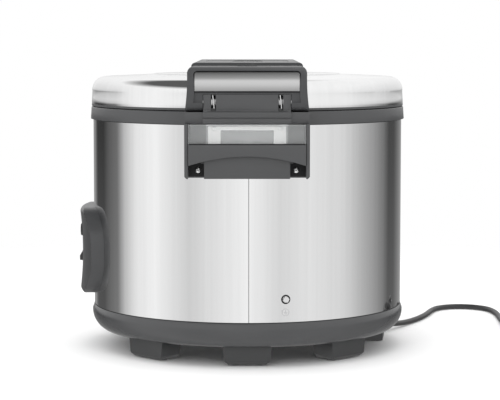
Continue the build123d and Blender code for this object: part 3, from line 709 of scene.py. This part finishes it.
def soften(piece: bpy.types.Object, width: float, segments: int = 3, crease: float = 34.0) -> None:
    """Rounds a piece's sharp edges with a modifier.

    Args:
        piece: The mesh object.
        width: Width of the rounding, in metres.
        segments: Facets of the rounding.
        crease: Least angle of a rounded edge, in degrees.
    """
    bevel = piece.modifiers.new("soft_edges", "BEVEL")
    bevel.width = width
    bevel.segments = segments
    bevel.limit_method = "ANGLE"
    bevel.angle_limit = math.radians(crease)
    bevel.harden_normals = False


def shade(piece: bpy.types.Object, crease: float = 34.0) -> None:
    """Shades a piece smooth and keeps its sharp edges.

    Args:
        piece: The mesh object.
        crease: Edges above this many degrees stay sharp.
    """
    data = piece.data
    data.polygons.foreach_set("use_smooth", [True] * len(data.polygons))
    data.set_sharp_from_angle(angle=math.radians(crease))


def rounded_square(corners: int, power: float) -> Outline:
    """A square of half width 1 with full, rounded corners.

    Args:
        corners: Points round it.
        power: Squareness; 1 is a circle.

    Returns:
        The points, from +X round to the left.
    """
    points = []
    for step in range(corners):
        angle = FULL_TURN * step / corners
        cos, sin = math.cos(angle), math.sin(angle)
        points.append((math.copysign(abs(cos) ** power, cos), math.copysign(abs(sin) ** power, sin)))
    return points


def circle_centre(first: Vector, middle: Vector, last: Vector) -> Vector:
    """Centre of the circle through three points of a plane.

    Args:
        first: One point.
        middle: Another.
        last: The third.

    Returns:
        The centre.
    """
    one, two = middle - first, last - first
    cross = 2 * (one.x * two.y - one.y * two.x)
    size_one, size_two = one.length_squared, two.length_squared
    return first + Vector((two.y * size_one - one.y * size_two, one.x * size_two - two.x * size_one)) / cross


def settle(piece: bpy.types.Object, body: str, slot: str, *nodes: str) -> bpy.types.Object:
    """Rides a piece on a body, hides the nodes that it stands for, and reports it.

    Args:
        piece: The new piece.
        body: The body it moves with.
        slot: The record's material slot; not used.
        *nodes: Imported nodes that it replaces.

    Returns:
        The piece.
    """
    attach(piece, body)
    if nodes:
        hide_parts(*nodes)
    log.info("%s on body %s", piece.name, body)
    return piece


# ---------------------------------------------------------------- studio


@dataclass
class Studio:
    """Camera, floor and soft light."""

    lens: float = 131.6
    distance: float = 2.563
    height: float = 0.4285
    tilt: float = 5.05
    aside: float = 0.0037
    floor_radius: float = 1.3
    floor_clear: float = 0.62
    target_height: float = 0.2
    floor_bounce: float = 0.6
    wall_light: float = 1.3
    gap_from: float = 0.55
    white: float = 0.92
    walls: tuple[tuple[float, float], ...] = (
        (0.00, 0.38), (0.06, 0.18), (0.11, 0.035), (0.14, 0.03), (0.17, 0.17), (0.21, 0.32), (0.25, 0.48),
        (0.29, 0.68), (0.37, 0.80), (0.435, 0.70), (0.50, 0.93), (0.59, 0.72), (0.62, 0.64), (0.70, 0.95),
        (0.75, 0.82), (0.785, 0.50), (0.81, 0.13), (0.85, 0.06), (0.872, 0.004), (0.915, 0.006),
        (0.945, 0.22))
    overhead: tuple[tuple[float, float], ...] = (
        (0.015, 0.0), (0.05, 0.58), (0.12, 0.72), (0.35, 0.85), (0.65, 1.0))

    def camera(self) -> None:
        """Places the camera behind the cooker, level with its lid."""
        data = bpy.data.cameras.new("camera")
        data.lens = self.lens
        data.sensor_width = 36.0
        data.clip_end = 100.0
        view = bpy.data.objects.new("camera", data)
        view.location = (-self.aside, self.distance, self.height)
        view.rotation_euler = (math.radians(90.0 - self.tilt), 0.0, math.pi)
        bpy.context.scene.collection.objects.link(view)
        bpy.context.scene.camera = view

    def floor(self) -> None:
        """Lays the pale floor."""
        middle, depth = 0.0001, 0.01
        outline = [(middle, -depth), (self.floor_radius, -depth), (self.floor_radius, 0.0), (middle, 0.0)]
        finish = Backdrop(fade_from=self.floor_clear, fade_to=self.floor_radius * 0.98).make()
        floor = Shape().lathe(outline, 96).piece("studio_floor", finish)
        floor.visible_glossy = False

    def sky(self) -> None:
        """Surrounds the set with walls of several greys, a white ceiling and a dark gap in its reflection."""
        world = bpy.data.worlds.new("studio")
        world.use_nodes = True
        bpy.context.scene.world = world
        tree = Tree(world.node_tree)
        way = tree.node("ShaderNodeTexCoord", output="Generated")
        across, along, up = (tree.axis(way, name) for name in "XYZ")
        bearing = tree.node("ShaderNodeMath", {"operation": "ARCTAN2"}, {0: across, 1: along})
        walls = tree.ramp(bearing / FULL_TURN + 0.5, self.walls)
        bounce = ((0.02 - up) * self.floor_bounce).clamp()
        walls = tree.mix(bounce, walls, (0.8, 0.8, 0.8))
        white = (self.white, self.white, self.white)
        gap = ((up - self.gap_from) * 5.0).clamp() * ((across + 0.25) * 4.0).clamp()
        mirrored = tree.node("ShaderNodeLightPath", output="Is Glossy Ray")
        ceiling = tree.mix(mirrored, white, tree.mix(gap, white, (0.10, 0.10, 0.10)))
        room = tree.mix(tree.ramp(up + 0.05, self.overhead), walls, ceiling)
        seen = tree.node("ShaderNodeLightPath", output="Is Camera Ray")
        light = tree.node("ShaderNodeBackground", sockets={"Color": room, "Strength": self.wall_light})
        plain = tree.node("ShaderNodeBackground", sockets={"Color": (1.0, 1.0, 1.0, 1.0), "Strength": 1.0})
        both = tree.node("ShaderNodeMixShader", sockets={0: seen, 1: light, 2: plain})
        tree.node("ShaderNodeOutputWorld", sockets={"Surface": both})

    def lamp(self, name: str, where: Point, size: tuple[float, float], power: float) -> None:
        """Hangs one soft panel that faces the cooker.

        Args:
            name: Its name.
            where: Its place.
            size: Width and height.
            power: Watts.
        """
        data = bpy.data.lights.new(name, "AREA")
        data.shape = "RECTANGLE"
        data.size, data.size_y = size
        data.energy = power
        light = bpy.data.objects.new(name, data)
        light.location = where
        aim = Vector((0.0, 0.0, self.target_height)) - Vector(where)
        light.rotation_euler = aim.to_track_quat("-Z", "Y").to_euler()
        light.visible_glossy = False
        bpy.context.scene.collection.objects.link(light)

    def build(self) -> None:
        """Sets the whole studio."""
        bpy.context.scene.view_settings.view_transform = "Standard"
        self.camera()
        self.floor()
        self.sky()
        self.lamp("top_panel", (0.3, 0.2, 2.6), (2.2, 2.2), 26.0)
        self.lamp("rear_panel", (0.9, 2.6, 1.5), (1.6, 1.2), 9.0)


# ---------------------------------------------------------------- pieces of the cooker


# A section drawn as (y, z) and run along X, and a section drawn as (x, -z) and run towards +Y.
LENGTHWAYS = Matrix(((0, 0, 1, 0), (1, 0, 0, 0), (0, 1, 0, 0), (0, 0, 0, 1)))
REARWARDS = Matrix(((1, 0, 0, 0), (0, 0, 1, 0), (0, -1, 0, 0), (0, 0, 0, 1)))


@dataclass
class Body:
    """The steel drum's seam and joints, and the terminal for earth."""

    radius: float = 0.215
    base_high: float = 0.060
    shell_high: float = 0.318
    seam_x: float = -0.0021
    seam_width: float = 0.0007
    seam_high: float = 0.2495
    mark_angle: float = 13.4
    mark_z: float = 0.074
    stud_z: float = 0.091
    joint_depth: float = 0.0004
    joint_proud: float = 0.0002
    washer_proud: float = 0.0010
    plate_proud: float = 0.0006
    bar_proud: float = 0.0004
    # Half width, lower and upper edge of the sign's stem and bars.
    bars: tuple[Point, ...] = ((0.0005, 0.0002, 0.0034), (0.0028, -0.0004, 0.0003),
                               (0.0019, -0.0016, -0.0009), (0.0010, -0.0028, -0.0021))

    def around(self, proud: float, level: float) -> Matrix:
        """Where the terminal's pieces stand on the drum.

        Args:
            proud: Distance outside the drum.
            level: Height over the floor.

        Returns:
            The placement of a form drawn facing the rear.
        """
        turn = Matrix.Rotation(math.radians(self.mark_angle), 4, "Z")
        return turn @ Matrix.Translation((0.0, self.radius + proud, level)) @ REARWARDS

    def build(self, finishes: Finishes) -> None:
        """Makes the pieces.

        Args:
            finishes: The object's materials.
        """
        half = self.seam_width / 2
        depth, outside = self.radius - self.joint_depth, self.radius + self.joint_proud
        seam = Shape().box((self.seam_x - half, depth, self.base_high),
                           (self.seam_x + half, self.radius + 0.0001, self.seam_high))
        settle(seam.piece("shell_seam", finishes["switch_plastic"]), "root", "base_plastic")
        for name, low, high in (("lower_joint", self.base_high - 0.0002, self.base_high + 0.0008),
                                ("upper_joint", self.shell_high - 0.0010, self.shell_high - 0.0001)):
            joint = Shape().lathe([(depth, low), (outside, low), (outside, high), (depth, high)])
            settle(joint.piece(name, finishes["switch_plastic"]), "root", "base_plastic")
        self.mark(finishes)
        outline = [(0.0040, 0.0), (0.0062, 0.0), (0.0061, 0.0006), (0.0044, 0.0009)]
        ring = Shape().lathe(outline, 48, move=self.around(self.washer_proud, self.stud_z))
        settle(ring.piece("stud_seal", finishes["switch_plastic"]), "root", "screw_steel")

    def mark(self, finishes: Finishes) -> None:
        """A generic earth sign raised on the small plate: a stem over three level bars, in a ring.

        Args:
            finishes: The object's materials.
        """
        move = self.around(self.plate_proud, self.mark_z)
        shape = Shape()
        for half, low, high in self.bars:
            bar = [(-half, -high), (half, -high), (half, -low), (-half, -low)]
            shape.prism(bar, 0.0, self.bar_proud, move)
        shape.lathe([(0.0041, 0.0), (0.0050, 0.0), (0.0050, 0.0005), (0.0041, 0.0005)], 48, move=move)
        settle(shape.piece("earth_sign", finishes["aluminium_cast"]), "root", "mark_plate")


@dataclass
class LidTrim:
    """Bright rear plate with painted shading in its colour, a black strip of painted shadow under it, the
    cover's small tab, the vent's slots and the latch button's ribs.
    """

    hinge_y: float = 0.225
    cover_high: float = 0.3934
    plate_half: float = 0.0672
    plate_low: float = 0.3617
    plate_high: float = 0.3866
    inset: float = 0.0011
    skin: float = 0.0016
    bridge_high: float = 0.3972
    vent_y: float = -0.060
    button_y: float = -0.2285
    button_z: float = 0.366
    bend_from_y: float = 0.2135
    vent_slots: int = 8
    button_ribs: int = 9
    rib_step: float = 0.0045

    def face(self, inset: float, steps: int = 40) -> Outline:
        """The (y, z) curve of the cover's rear face, moved in by an inset, from the top down.

        Args:
            inset: Distance inside the cover's outer face.
            steps: Stretches of the curve.

        Returns:
            The points between the plate's upper and lower edges.
        """
        back = self.hinge_y + 0.012 - inset
        high = self.cover_high - inset
        first = Vector((self.hinge_y - 0.014, high))
        middle = Vector((back - 0.0065, high - 0.008))
        last = Vector((back, high - 0.027))
        centre = circle_centre(first, middle, last)
        radius = (first - centre).length
        start = math.atan2(first.y - centre.y, first.x - centre.x)
        end = math.atan2(last.y - centre.y, last.x - centre.x)
        points = []
        for step in range(steps + 1):
            angle = start + (end - start) * step / steps
            y, z = centre.x + radius * math.cos(angle), centre.y + radius * math.sin(angle)
            if self.plate_low < z < self.plate_high and y > self.bend_from_y:
                points.append((y, z))
        return points + [(back, self.plate_low)]

    def build(self, finishes: Finishes) -> None:
        """Makes the pieces.

        Args:
            finishes: The object's materials.
        """
        outline = self.face(self.inset) + self.face(self.inset + self.skin)[::-1]
        plate = Shape().prism(outline, -self.plate_half, self.plate_half, LENGTHWAYS)
        settle(plate.piece("cover_plate", finishes["cover_trim"], 0.0005), "lid", "cover_plastic")
        # A black strip painted as the shadow in the gap under the plate's lower edge.
        edge = Shape().box((-self.plate_half, self.hinge_y + 0.0082, self.plate_low - 0.0018),
                           (self.plate_half, self.hinge_y + 0.0102, self.plate_low + 0.0001))
        settle(edge.piece("plate_gap_painted_shadow", finishes["switch_plastic"]), "lid", "cover_plastic")
        self.tab(finishes)
        self.vent(finishes)
        self.button(finishes)

    def tab(self, finishes: Finishes) -> None:
        """The shallow thumb tab in the middle of the cover's upper edge.

        Args:
            finishes: The object's materials.
        """
        half, front, back = 0.013, 0.206, 0.2125
        tab = Shape().box((-half, front, self.cover_high - 0.0002), (half, back, self.cover_high + 0.0011))
        settle(tab.piece("cover_tab", finishes["cover_plastic"], 0.0006), "lid", "cover_plastic")

    def vent(self, finishes: Finishes) -> None:
        """Curved steam slots, each a dark sunk bar, round the vent cap's edge.

        Args:
            finishes: The object's materials.
        """
        shape = Shape()
        low, high = self.bridge_high - 0.0012, self.bridge_high - 0.0005
        outline = [(0.0168, low), (0.0188, low), (0.0188, high), (0.0168, high)]
        place = Matrix.Translation((0.0, self.vent_y, 0.0))
        for step in range(self.vent_slots):
            shape.lathe(outline, 10, FULL_TURN * step / self.vent_slots, FULL_TURN / 13, place)
        settle(shape.piece("vent_slots", finishes["switch_plastic"]), "vent", "cover_plastic")

    def button(self, finishes: Finishes) -> None:
        """Upright grip ribs on the latch button.

        Args:
            finishes: The object's materials.
        """
        shape = Shape()
        for step in range(self.button_ribs):
            x = (step - self.button_ribs // 2) * self.rib_step
            shape.box((x - 0.0007, self.button_y - 0.0006, self.button_z - 0.0042),
                      (x + 0.0007, self.button_y + 0.0004, self.button_z + 0.0042))
        settle(shape.piece("button_ribs", finishes["lever_plastic"], 0.0003, 2), "button", "lever_plastic")


@dataclass
class HingeGear:
    """Two torsion springs whose ends stand in the hinge block's slots."""

    hinge_y: float = 0.225
    hinge_z: float = 0.348
    offset: float = 0.043
    wire: float = 0.0009
    coil: float = 0.0069
    width: float = 0.0090
    turns: int = 5
    leg: tuple[Point, ...] = ((-0.0010, 0.0071, -0.0085), (-0.0008, 0.0073, -0.0050),
                              (0.0004, 0.0073, 0.0055), (0.0008, 0.0069, 0.0085))

    def build(self, finishes: Finishes) -> None:
        """Makes both springs.

        Args:
            finishes: The object's materials.
        """
        steps = self.turns * 24
        for side, name in ((-1, "left"), (1, "right")):
            middle = side * self.offset
            path = []
            for step in range(steps + 1):
                angle = math.pi / 2 - FULL_TURN * self.turns * step / steps
                path.append(Vector((middle + self.width * (0.5 - step / steps),
                                    self.hinge_y + self.coil * math.cos(angle),
                                    self.hinge_z + self.coil * math.sin(angle))))
            leg = [Vector((middle + x, self.hinge_y + y, self.hinge_z + z)) for x, y, z in self.leg]
            shape = Shape().tube(path, self.wire, 10).tube(leg, self.wire, 10)
            settle(shape.piece(f"spring_{name}", finishes["spring_steel"]), "root", "spring_steel",
                   f"hinge_spring_{name}")


@dataclass
class Collector:
    """The dew collector's fine parts: cup edge, baffle pegs, a black strip of painted shade in the grip's
    groove, and screws with painted shade in their recesses.
    """

    front: float = 0.2205
    back: float = 0.2425
    cup_half: float = 0.0750
    cup_high: float = 0.3194
    grip_high: float = 0.2939
    screw_x: float = 0.0630
    screw_z: float = 0.2600
    screw_front: float = 0.2190
    peg_x: float = 0.0420
    peg_z: float = 0.3134
    baffle: float = 0.0060
    pocket_in: float = 0.0556
    cross_turn: int = 35

    def build(self, finishes: Finishes) -> None:
        """Makes the pieces.

        Args:
            finishes: The object's materials.
        """
        # A black strip painted as the shade in the groove between the cup and the grip.
        line = Shape().box((-self.cup_half + 0.001, self.back - 0.0004, self.grip_high - 0.0002),
                           (self.cup_half - 0.001, self.back + 0.0034, self.grip_high + 0.0012))
        settle(line.piece("grip_groove_painted_shade", finishes["switch_plastic"]), "collector", "rim_plastic")
        rim = Shape()
        for side in (-1, 1):
            near, far = side * (self.cup_half - 0.0012), side * (self.cup_half - 0.0002)
            rim.box((min(near, far), self.back - 0.0006, self.grip_high + 0.001),
                    (max(near, far), self.back + 0.0004, self.cup_high - 0.0002))
        rim.box((-self.cup_half, self.back - 0.0014, self.cup_high - 0.0014),
                (self.cup_half, self.back + 0.0004, self.cup_high - 0.0002))
        settle(rim.piece("cup_edge", finishes["clear_plastic"], 0.0003, 2), "collector", "clear_plastic")
        pegs = Shape()
        for side in (-1, 1):
            move = Matrix.Translation((side * self.peg_x, self.front + self.baffle, self.peg_z)) @ REARWARDS
            pegs.lathe([(0.0, 0.0), (0.0029, 0.0), (0.0029, 0.0012), (0.0021, 0.0022), (0.0, 0.0024)], 32,
                       move=move)
        bmesh.ops.remove_doubles(pegs.mesh, verts=pegs.mesh.verts, dist=1e-6)
        settle(pegs.piece("baffle_pegs", finishes["white_plastic"]), "collector", "white_plastic")
        self.screws(finishes)

    def screws(self, finishes: Finishes) -> None:
        """Pan heads over the plain packed screws; black boxes paint the shade deep in each screw's pocket,
        and black crosses paint the shade in each head's cross recess.

        Args:
            finishes: The object's materials.
        """
        # Black boxes painted as the shade deep in each screw's pocket.
        painted_pocket_shade = Shape()
        for side in (-1, 1):
            near, far = side * self.pocket_in, side * self.cup_half
            painted_pocket_shade.box((min(near, far), self.screw_front - 0.0003, self.screw_z - 0.0085),
                        (max(near, far), self.screw_front + 0.0002, self.screw_z + 0.0080))
        settle(painted_pocket_shade.piece("screw_pocket_painted_shade", finishes["switch_plastic"]), "root", "rim_plastic")
        heads, cross = Shape(), Shape()
        outline = [(0.0001, -0.0200), (0.0019, -0.0200), (0.0019, 0.0), (0.0038, 0.0), (0.0039, 0.0007),
                   (0.0035, 0.0016), (0.0026, 0.0022), (0.0014, 0.0024), (0.0001, 0.0025)]
        bar = [(-0.0021, -0.00045), (0.0021, -0.00045), (0.0021, 0.00045), (-0.0021, 0.00045)]
        for side in (-1, 1):
            move = Matrix.Translation((side * self.screw_x, self.screw_front, self.screw_z)) @ REARWARDS
            heads.lathe(outline, 48, move=move)
            # Black crosses painted as the shade in each head's cross recess.
            for turn, high in ((self.cross_turn, 0.00246), (self.cross_turn + 90, 0.00250)):
                cross.prism(bar, 0.0012, high, move @ Matrix.Rotation(math.radians(turn), 4, "Z"))
        settle(heads.piece("screw_heads", finishes["screw_steel"]), "root", "screw_steel", "rear_screws")
        settle(cross.piece("screw_recess_painted_shade", finishes["switch_plastic"]), "root", "screw_steel")


@dataclass
class Panel:
    """Bezels round the lamps and the lever's thumb ribs."""

    lens_y: float = 0.022
    lens_z: float = 0.163
    lens_x: float = 0.2301
    lens_radius: float = 0.007
    tip_x: float = 0.236
    lever_half: float = 0.0045
    ribs: int = 4
    rib_high: float = 0.1226
    rib_step: float = 0.0012
    rib_proud: float = 0.0003

    def build(self, finishes: Finishes) -> None:
        """Makes the pieces.

        Args:
            finishes: The object's materials.
        """
        bezels = Shape()
        side_on = Matrix.Rotation(math.radians(90), 4, "Y")
        inner, outer = self.lens_radius + 0.0001, self.lens_radius + 0.0014
        outline = [(inner, -0.002), (outer, -0.002), (outer, 0.0016), (inner + 0.0003, 0.0022),
                   (inner, 0.0018)]
        for side in (-1, 1):
            move = Matrix.Translation((self.lens_x, side * self.lens_y, self.lens_z)) @ side_on
            bezels.lathe(outline, 64, move=move)
        settle(bezels.piece("lamp_bezels", finishes["lever_plastic"]), "root", "panel_plastic")
        ribs = Shape()
        half = self.lever_half + self.rib_proud
        for step in range(self.ribs):
            z = self.rib_high - step * self.rib_step
            ribs.box((self.tip_x - 0.0034, -half, z - 0.00025), (self.tip_x - 0.0008, half, z + 0.00025))
        settle(ribs.piece("lever_ribs", finishes["lever_plastic"]), "lever", "lever_plastic")


@dataclass
class Cookware:
    """Level marks inside the pot."""

    wall: float = 0.1630
    first_z: float = 0.143
    marks: int = 6
    gap: float = 0.022
    mark_half: float = 0.0005
    proud: float = 0.0002

    def build(self, finishes: Finishes) -> None:
        """Makes the pieces.

        Args:
            finishes: The object's materials.
        """
        shape = Shape()
        for place in (90.0, 270.0):
            for step in range(self.marks):
                z = self.first_z + step * self.gap
                wide = math.radians(4.6 if step % 2 else 2.6)
                inner, outer = self.wall - self.mark_half, self.wall + self.proud
                low, high = z - self.mark_half, z + self.mark_half
                shape.lathe([(inner, low), (outer, low), (outer, high), (inner, high)], 8,
                            math.radians(place) - wide / 2, wide)
        settle(shape.piece("pot_level_marks", finishes["aluminium_pot"]), "root", "aluminium_pot")


# ---------------------------------------------------------------- mains lead


@dataclass
class MainsLead:
    """The black rubber lead: its route, coil, tie, strain relief and plug."""

    radius: float = 0.004
    floor_z: float = 0.0042
    length: float = 1.88
    start: Point = (-0.2001, -0.0849, 0.012)
    drop: Point = (-0.2223, -0.1229, 0.007)
    route: tuple[tuple[float, float], ...] = (
        (-0.243, -0.161), (-0.262, -0.197), (-0.277, -0.236), (-0.287, -0.274), (-0.300, -0.302),
        (-0.326, -0.318), (-0.356, -0.314), (-0.378, -0.292), (-0.385, -0.261), (-0.386, -0.225),
        (-0.3845, -0.188))
    coil_x: float = -0.438
    coil_y: float = -0.115
    coil_radius: float = 0.046
    pitch: float = 0.0086
    coil_low: float = 0.0054
    turn_points: int = 16
    plug_lead: float = 0.060
    plug_z: float = 0.010
    plug_corners: int = 20
    strap_steps: int = 40
    strap_thick: float = 0.0012
    sleeve_length: float = 0.030
    sleeve_wide: float = 0.0075
    sleeve_ribs: int = 6

    @property
    def wide(self) -> float:
        """Radius of the coil's outermost turns."""
        return self.coil_radius + self.pitch

    @property
    def coil_top(self) -> float:
        """Height of the coil's upper layer."""
        return self.coil_low + self.pitch

    def coil_slots(self) -> list[tuple[float, float, float]]:
        """Lists the coil's stretches.

        Returns:
            For each, its end in turns, its radius and its height.
        """
        middle, narrow = self.coil_radius, self.coil_radius - self.pitch
        low, high = self.coil_low, self.coil_top
        return [(1.0, self.wide, low), (2.0, middle, low), (2.5, narrow, low), (3.0, narrow, high),
                (4.0, middle, high), (4.5, self.wide, high)]

    def coil_points(self) -> list[Point]:
        """Winds the turns inwards on the lower layer and outwards on the upper one.

        Returns:
            The coil's control points.
        """
        slots = self.coil_slots()
        shift = 1.5 / self.turn_points
        points = []
        total = int(slots[-1][0] * self.turn_points)
        for step in range(total + 1):
            turns = step / self.turn_points
            index = next(i for i, slot in enumerate(slots) if turns <= slot[0] + 1e-9)
            radius, height = slots[index][1:]
            for edge, (end, _, _) in enumerate(slots[:-1]):
                near = (turns - end) / shift
                if abs(near) < 1:
                    share = (near + 1) / 2
                    radius = slots[edge][1] * (1 - share) + slots[edge + 1][1] * share
                    height = slots[edge][2] * (1 - share) + slots[edge + 1][2] * share
            angle = FULL_TURN * turns
            points.append((self.coil_x + radius * math.cos(angle), self.coil_y + radius * math.sin(angle),
                           height))
        return points

    def line(self) -> list[Point]:
        """Strings the route, the coil and the run to the plug together.

        Returns:
            Every control point of the lead, from the strain relief to the plug.
        """
        flat = [(x, y, self.floor_z) for x, y in self.route]
        lead_in = (self.coil_x + self.wide, self.coil_y - 0.036, self.coil_low + 0.0003)
        out_x, top, rest = self.coil_x - self.wide, self.coil_top, self.plug_z
        lead_out = [(out_x, self.coil_y - 0.016, top), (out_x, self.coil_y - 0.034, (top + rest) / 2),
                    (out_x, self.coil_y - 0.048, rest), (out_x, self.coil_y - self.plug_lead - 0.004, rest)]
        return [self.start, self.drop] + flat + [lead_in] + self.coil_points() + lead_out

    def build(self, finishes: Finishes) -> None:
        """Makes the lead and what is on it.

        Args:
            finishes: The object's materials.
        """
        points = self.line()
        data = bpy.data.curves.new("mains_lead", "CURVE")
        data.dimensions = "3D"
        data.bevel_depth = self.radius
        data.bevel_resolution = 5
        data.resolution_u = 8
        data.use_fill_caps = True
        spline = data.splines.new("NURBS")
        spline.points.add(len(points) - 1)
        for control, place in zip(spline.points, points):
            control.co = (*place, 1.0)
        spline.order_u = 3
        spline.use_endpoint_u = True
        data.materials.append(finishes["cord_rubber"])
        lead = bpy.data.objects.new("mains_lead", data)
        bpy.context.scene.collection.objects.link(lead)
        settle(lead, "root", "cord_rubber", "power_cord", "cord_coil")
        plug = self.plug(finishes)
        tie = self.tie(finishes)
        self.relief(finishes)
        log.info("mains lead with %d points", len(points))

    def plug(self, finishes: Finishes) -> bpy.types.Object:
        """The moulded plug with its waist and cable sleeve.

        Args:
            finishes: The object's materials.

        Returns:
            The piece.
        """
        x = self.coil_x - self.wide
        back = self.coil_y - self.plug_lead
        low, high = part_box("plug_body")
        length, half, rise = high[1] - low[1], (high[0] - low[0]) / 2, (high[2] - low[2]) / 2
        stations = [(0.0, 0.42), (0.10, 0.50), (0.30, 0.62), (0.52, 0.80), (0.66, 0.98), (0.97, 1.0),
                    (1.0, 0.94)]
        rings = []
        for share, width in stations:
            ring = []
            for across, upward in rounded_square(self.plug_corners, 0.55):
                ring.append((x + half * width * across, back - share * length,
                             self.plug_z + rise * (0.55 + 0.45 * width) * upward))
            rings.append(ring)
        made = Shape().skin(rings).piece("plug_moulding", finishes["cord_rubber"], crease=50)
        return settle(made, "root", "cord_rubber", "plug_body")

    def tie(self, finishes: Finishes) -> bpy.types.Object:
        """The strap round the coil.

        Args:
            finishes: The object's materials.

        Returns:
            The piece.
        """
        low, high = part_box("coil_tie")
        middle_y, middle_z = (low[1] + high[1]) / 2, (low[2] + high[2]) / 2
        half_y, half_z = (high[1] - low[1]) / 2, (high[2] - low[2]) / 2
        thick = self.strap_thick
        outer, inner = [], []
        for y, z in rounded_square(self.strap_steps, 0.4):
            outer.append((middle_y + half_y * y, middle_z + half_z * z))
            inner.append((middle_y + (half_y - thick) * y, middle_z + (half_z - thick) * z))
        shape = Shape()
        for near in range(self.strap_steps):
            far = (near + 1) % self.strap_steps
            section = (outer[near], outer[far], inner[far], inner[near])
            left, right = ([shape.mesh.verts.new((x, *point)) for point in section]
                           for x in (low[0], high[0]))
            for one, two in ((0, 1), (2, 3)):
                shape.mesh.faces.new((left[one], left[two], right[two], right[one]))
            shape.mesh.faces.new(reversed(left))
            shape.mesh.faces.new(right)
        bmesh.ops.remove_doubles(shape.mesh, verts=shape.mesh.verts, dist=1e-6)
        made = shape.piece("coil_strap", finishes["tie_plastic"], bevel=0.0003, segments=2)
        return settle(made, "root", "tie_plastic", "coil_tie")

    def relief(self, finishes: Finishes) -> bpy.types.Object:
        """The tapered strain relief with its ribs, along the lead's first stretch.

        Args:
            finishes: The object's materials.

        Returns:
            The piece.
        """
        way = Vector((-0.5039, -0.8638, 0.0)).normalized()
        length, wide = self.sleeve_length, self.sleeve_wide
        outline: Outline = [(0.0041, 0.0), (wide, 0.0)]
        for rib in range(self.sleeve_ribs):
            low = length * (0.16 + rib * 0.13)
            edge = wide - 0.0026 * low / length
            outline += [(edge, low), (edge - 0.0012, low + 0.0006), (edge - 0.0012, low + 0.0018),
                        (edge - 0.0003, low + 0.0024)]
        outline += [(0.0048, length - 0.0004), (0.0045, length), (0.0041, length)]
        turn = way.to_track_quat("Z", "Y").to_matrix().to_4x4()
        place = Matrix.Translation(Vector(self.start) - way * length)
        made = Shape().lathe(outline, 48, move=place @ turn).piece("lead_sleeve", finishes["cord_rubber"])
        return settle(made, "root", "cord_rubber", "strain_relief")


# ---------------------------------------------------------------- main


def main() -> None:
    """Builds every sub-assembly in order and reports each one."""
    logging.basicConfig(level=logging.INFO, format="%(name)s: %(message)s")
    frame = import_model()
    Studio().build()
    log.info("studio set")
    finishes = Finishes()
    finishes.dress_frame(frame)
    for assembly in (Body(), LidTrim(), HingeGear(), Collector(), Panel(), Cookware(), MainsLead()):
        log.info("building %s", type(assembly).__name__)
        assembly.build(finishes)
    for node in frame["nodes"].values():
        shade(node)


if __name__ == "__main__":
    main()
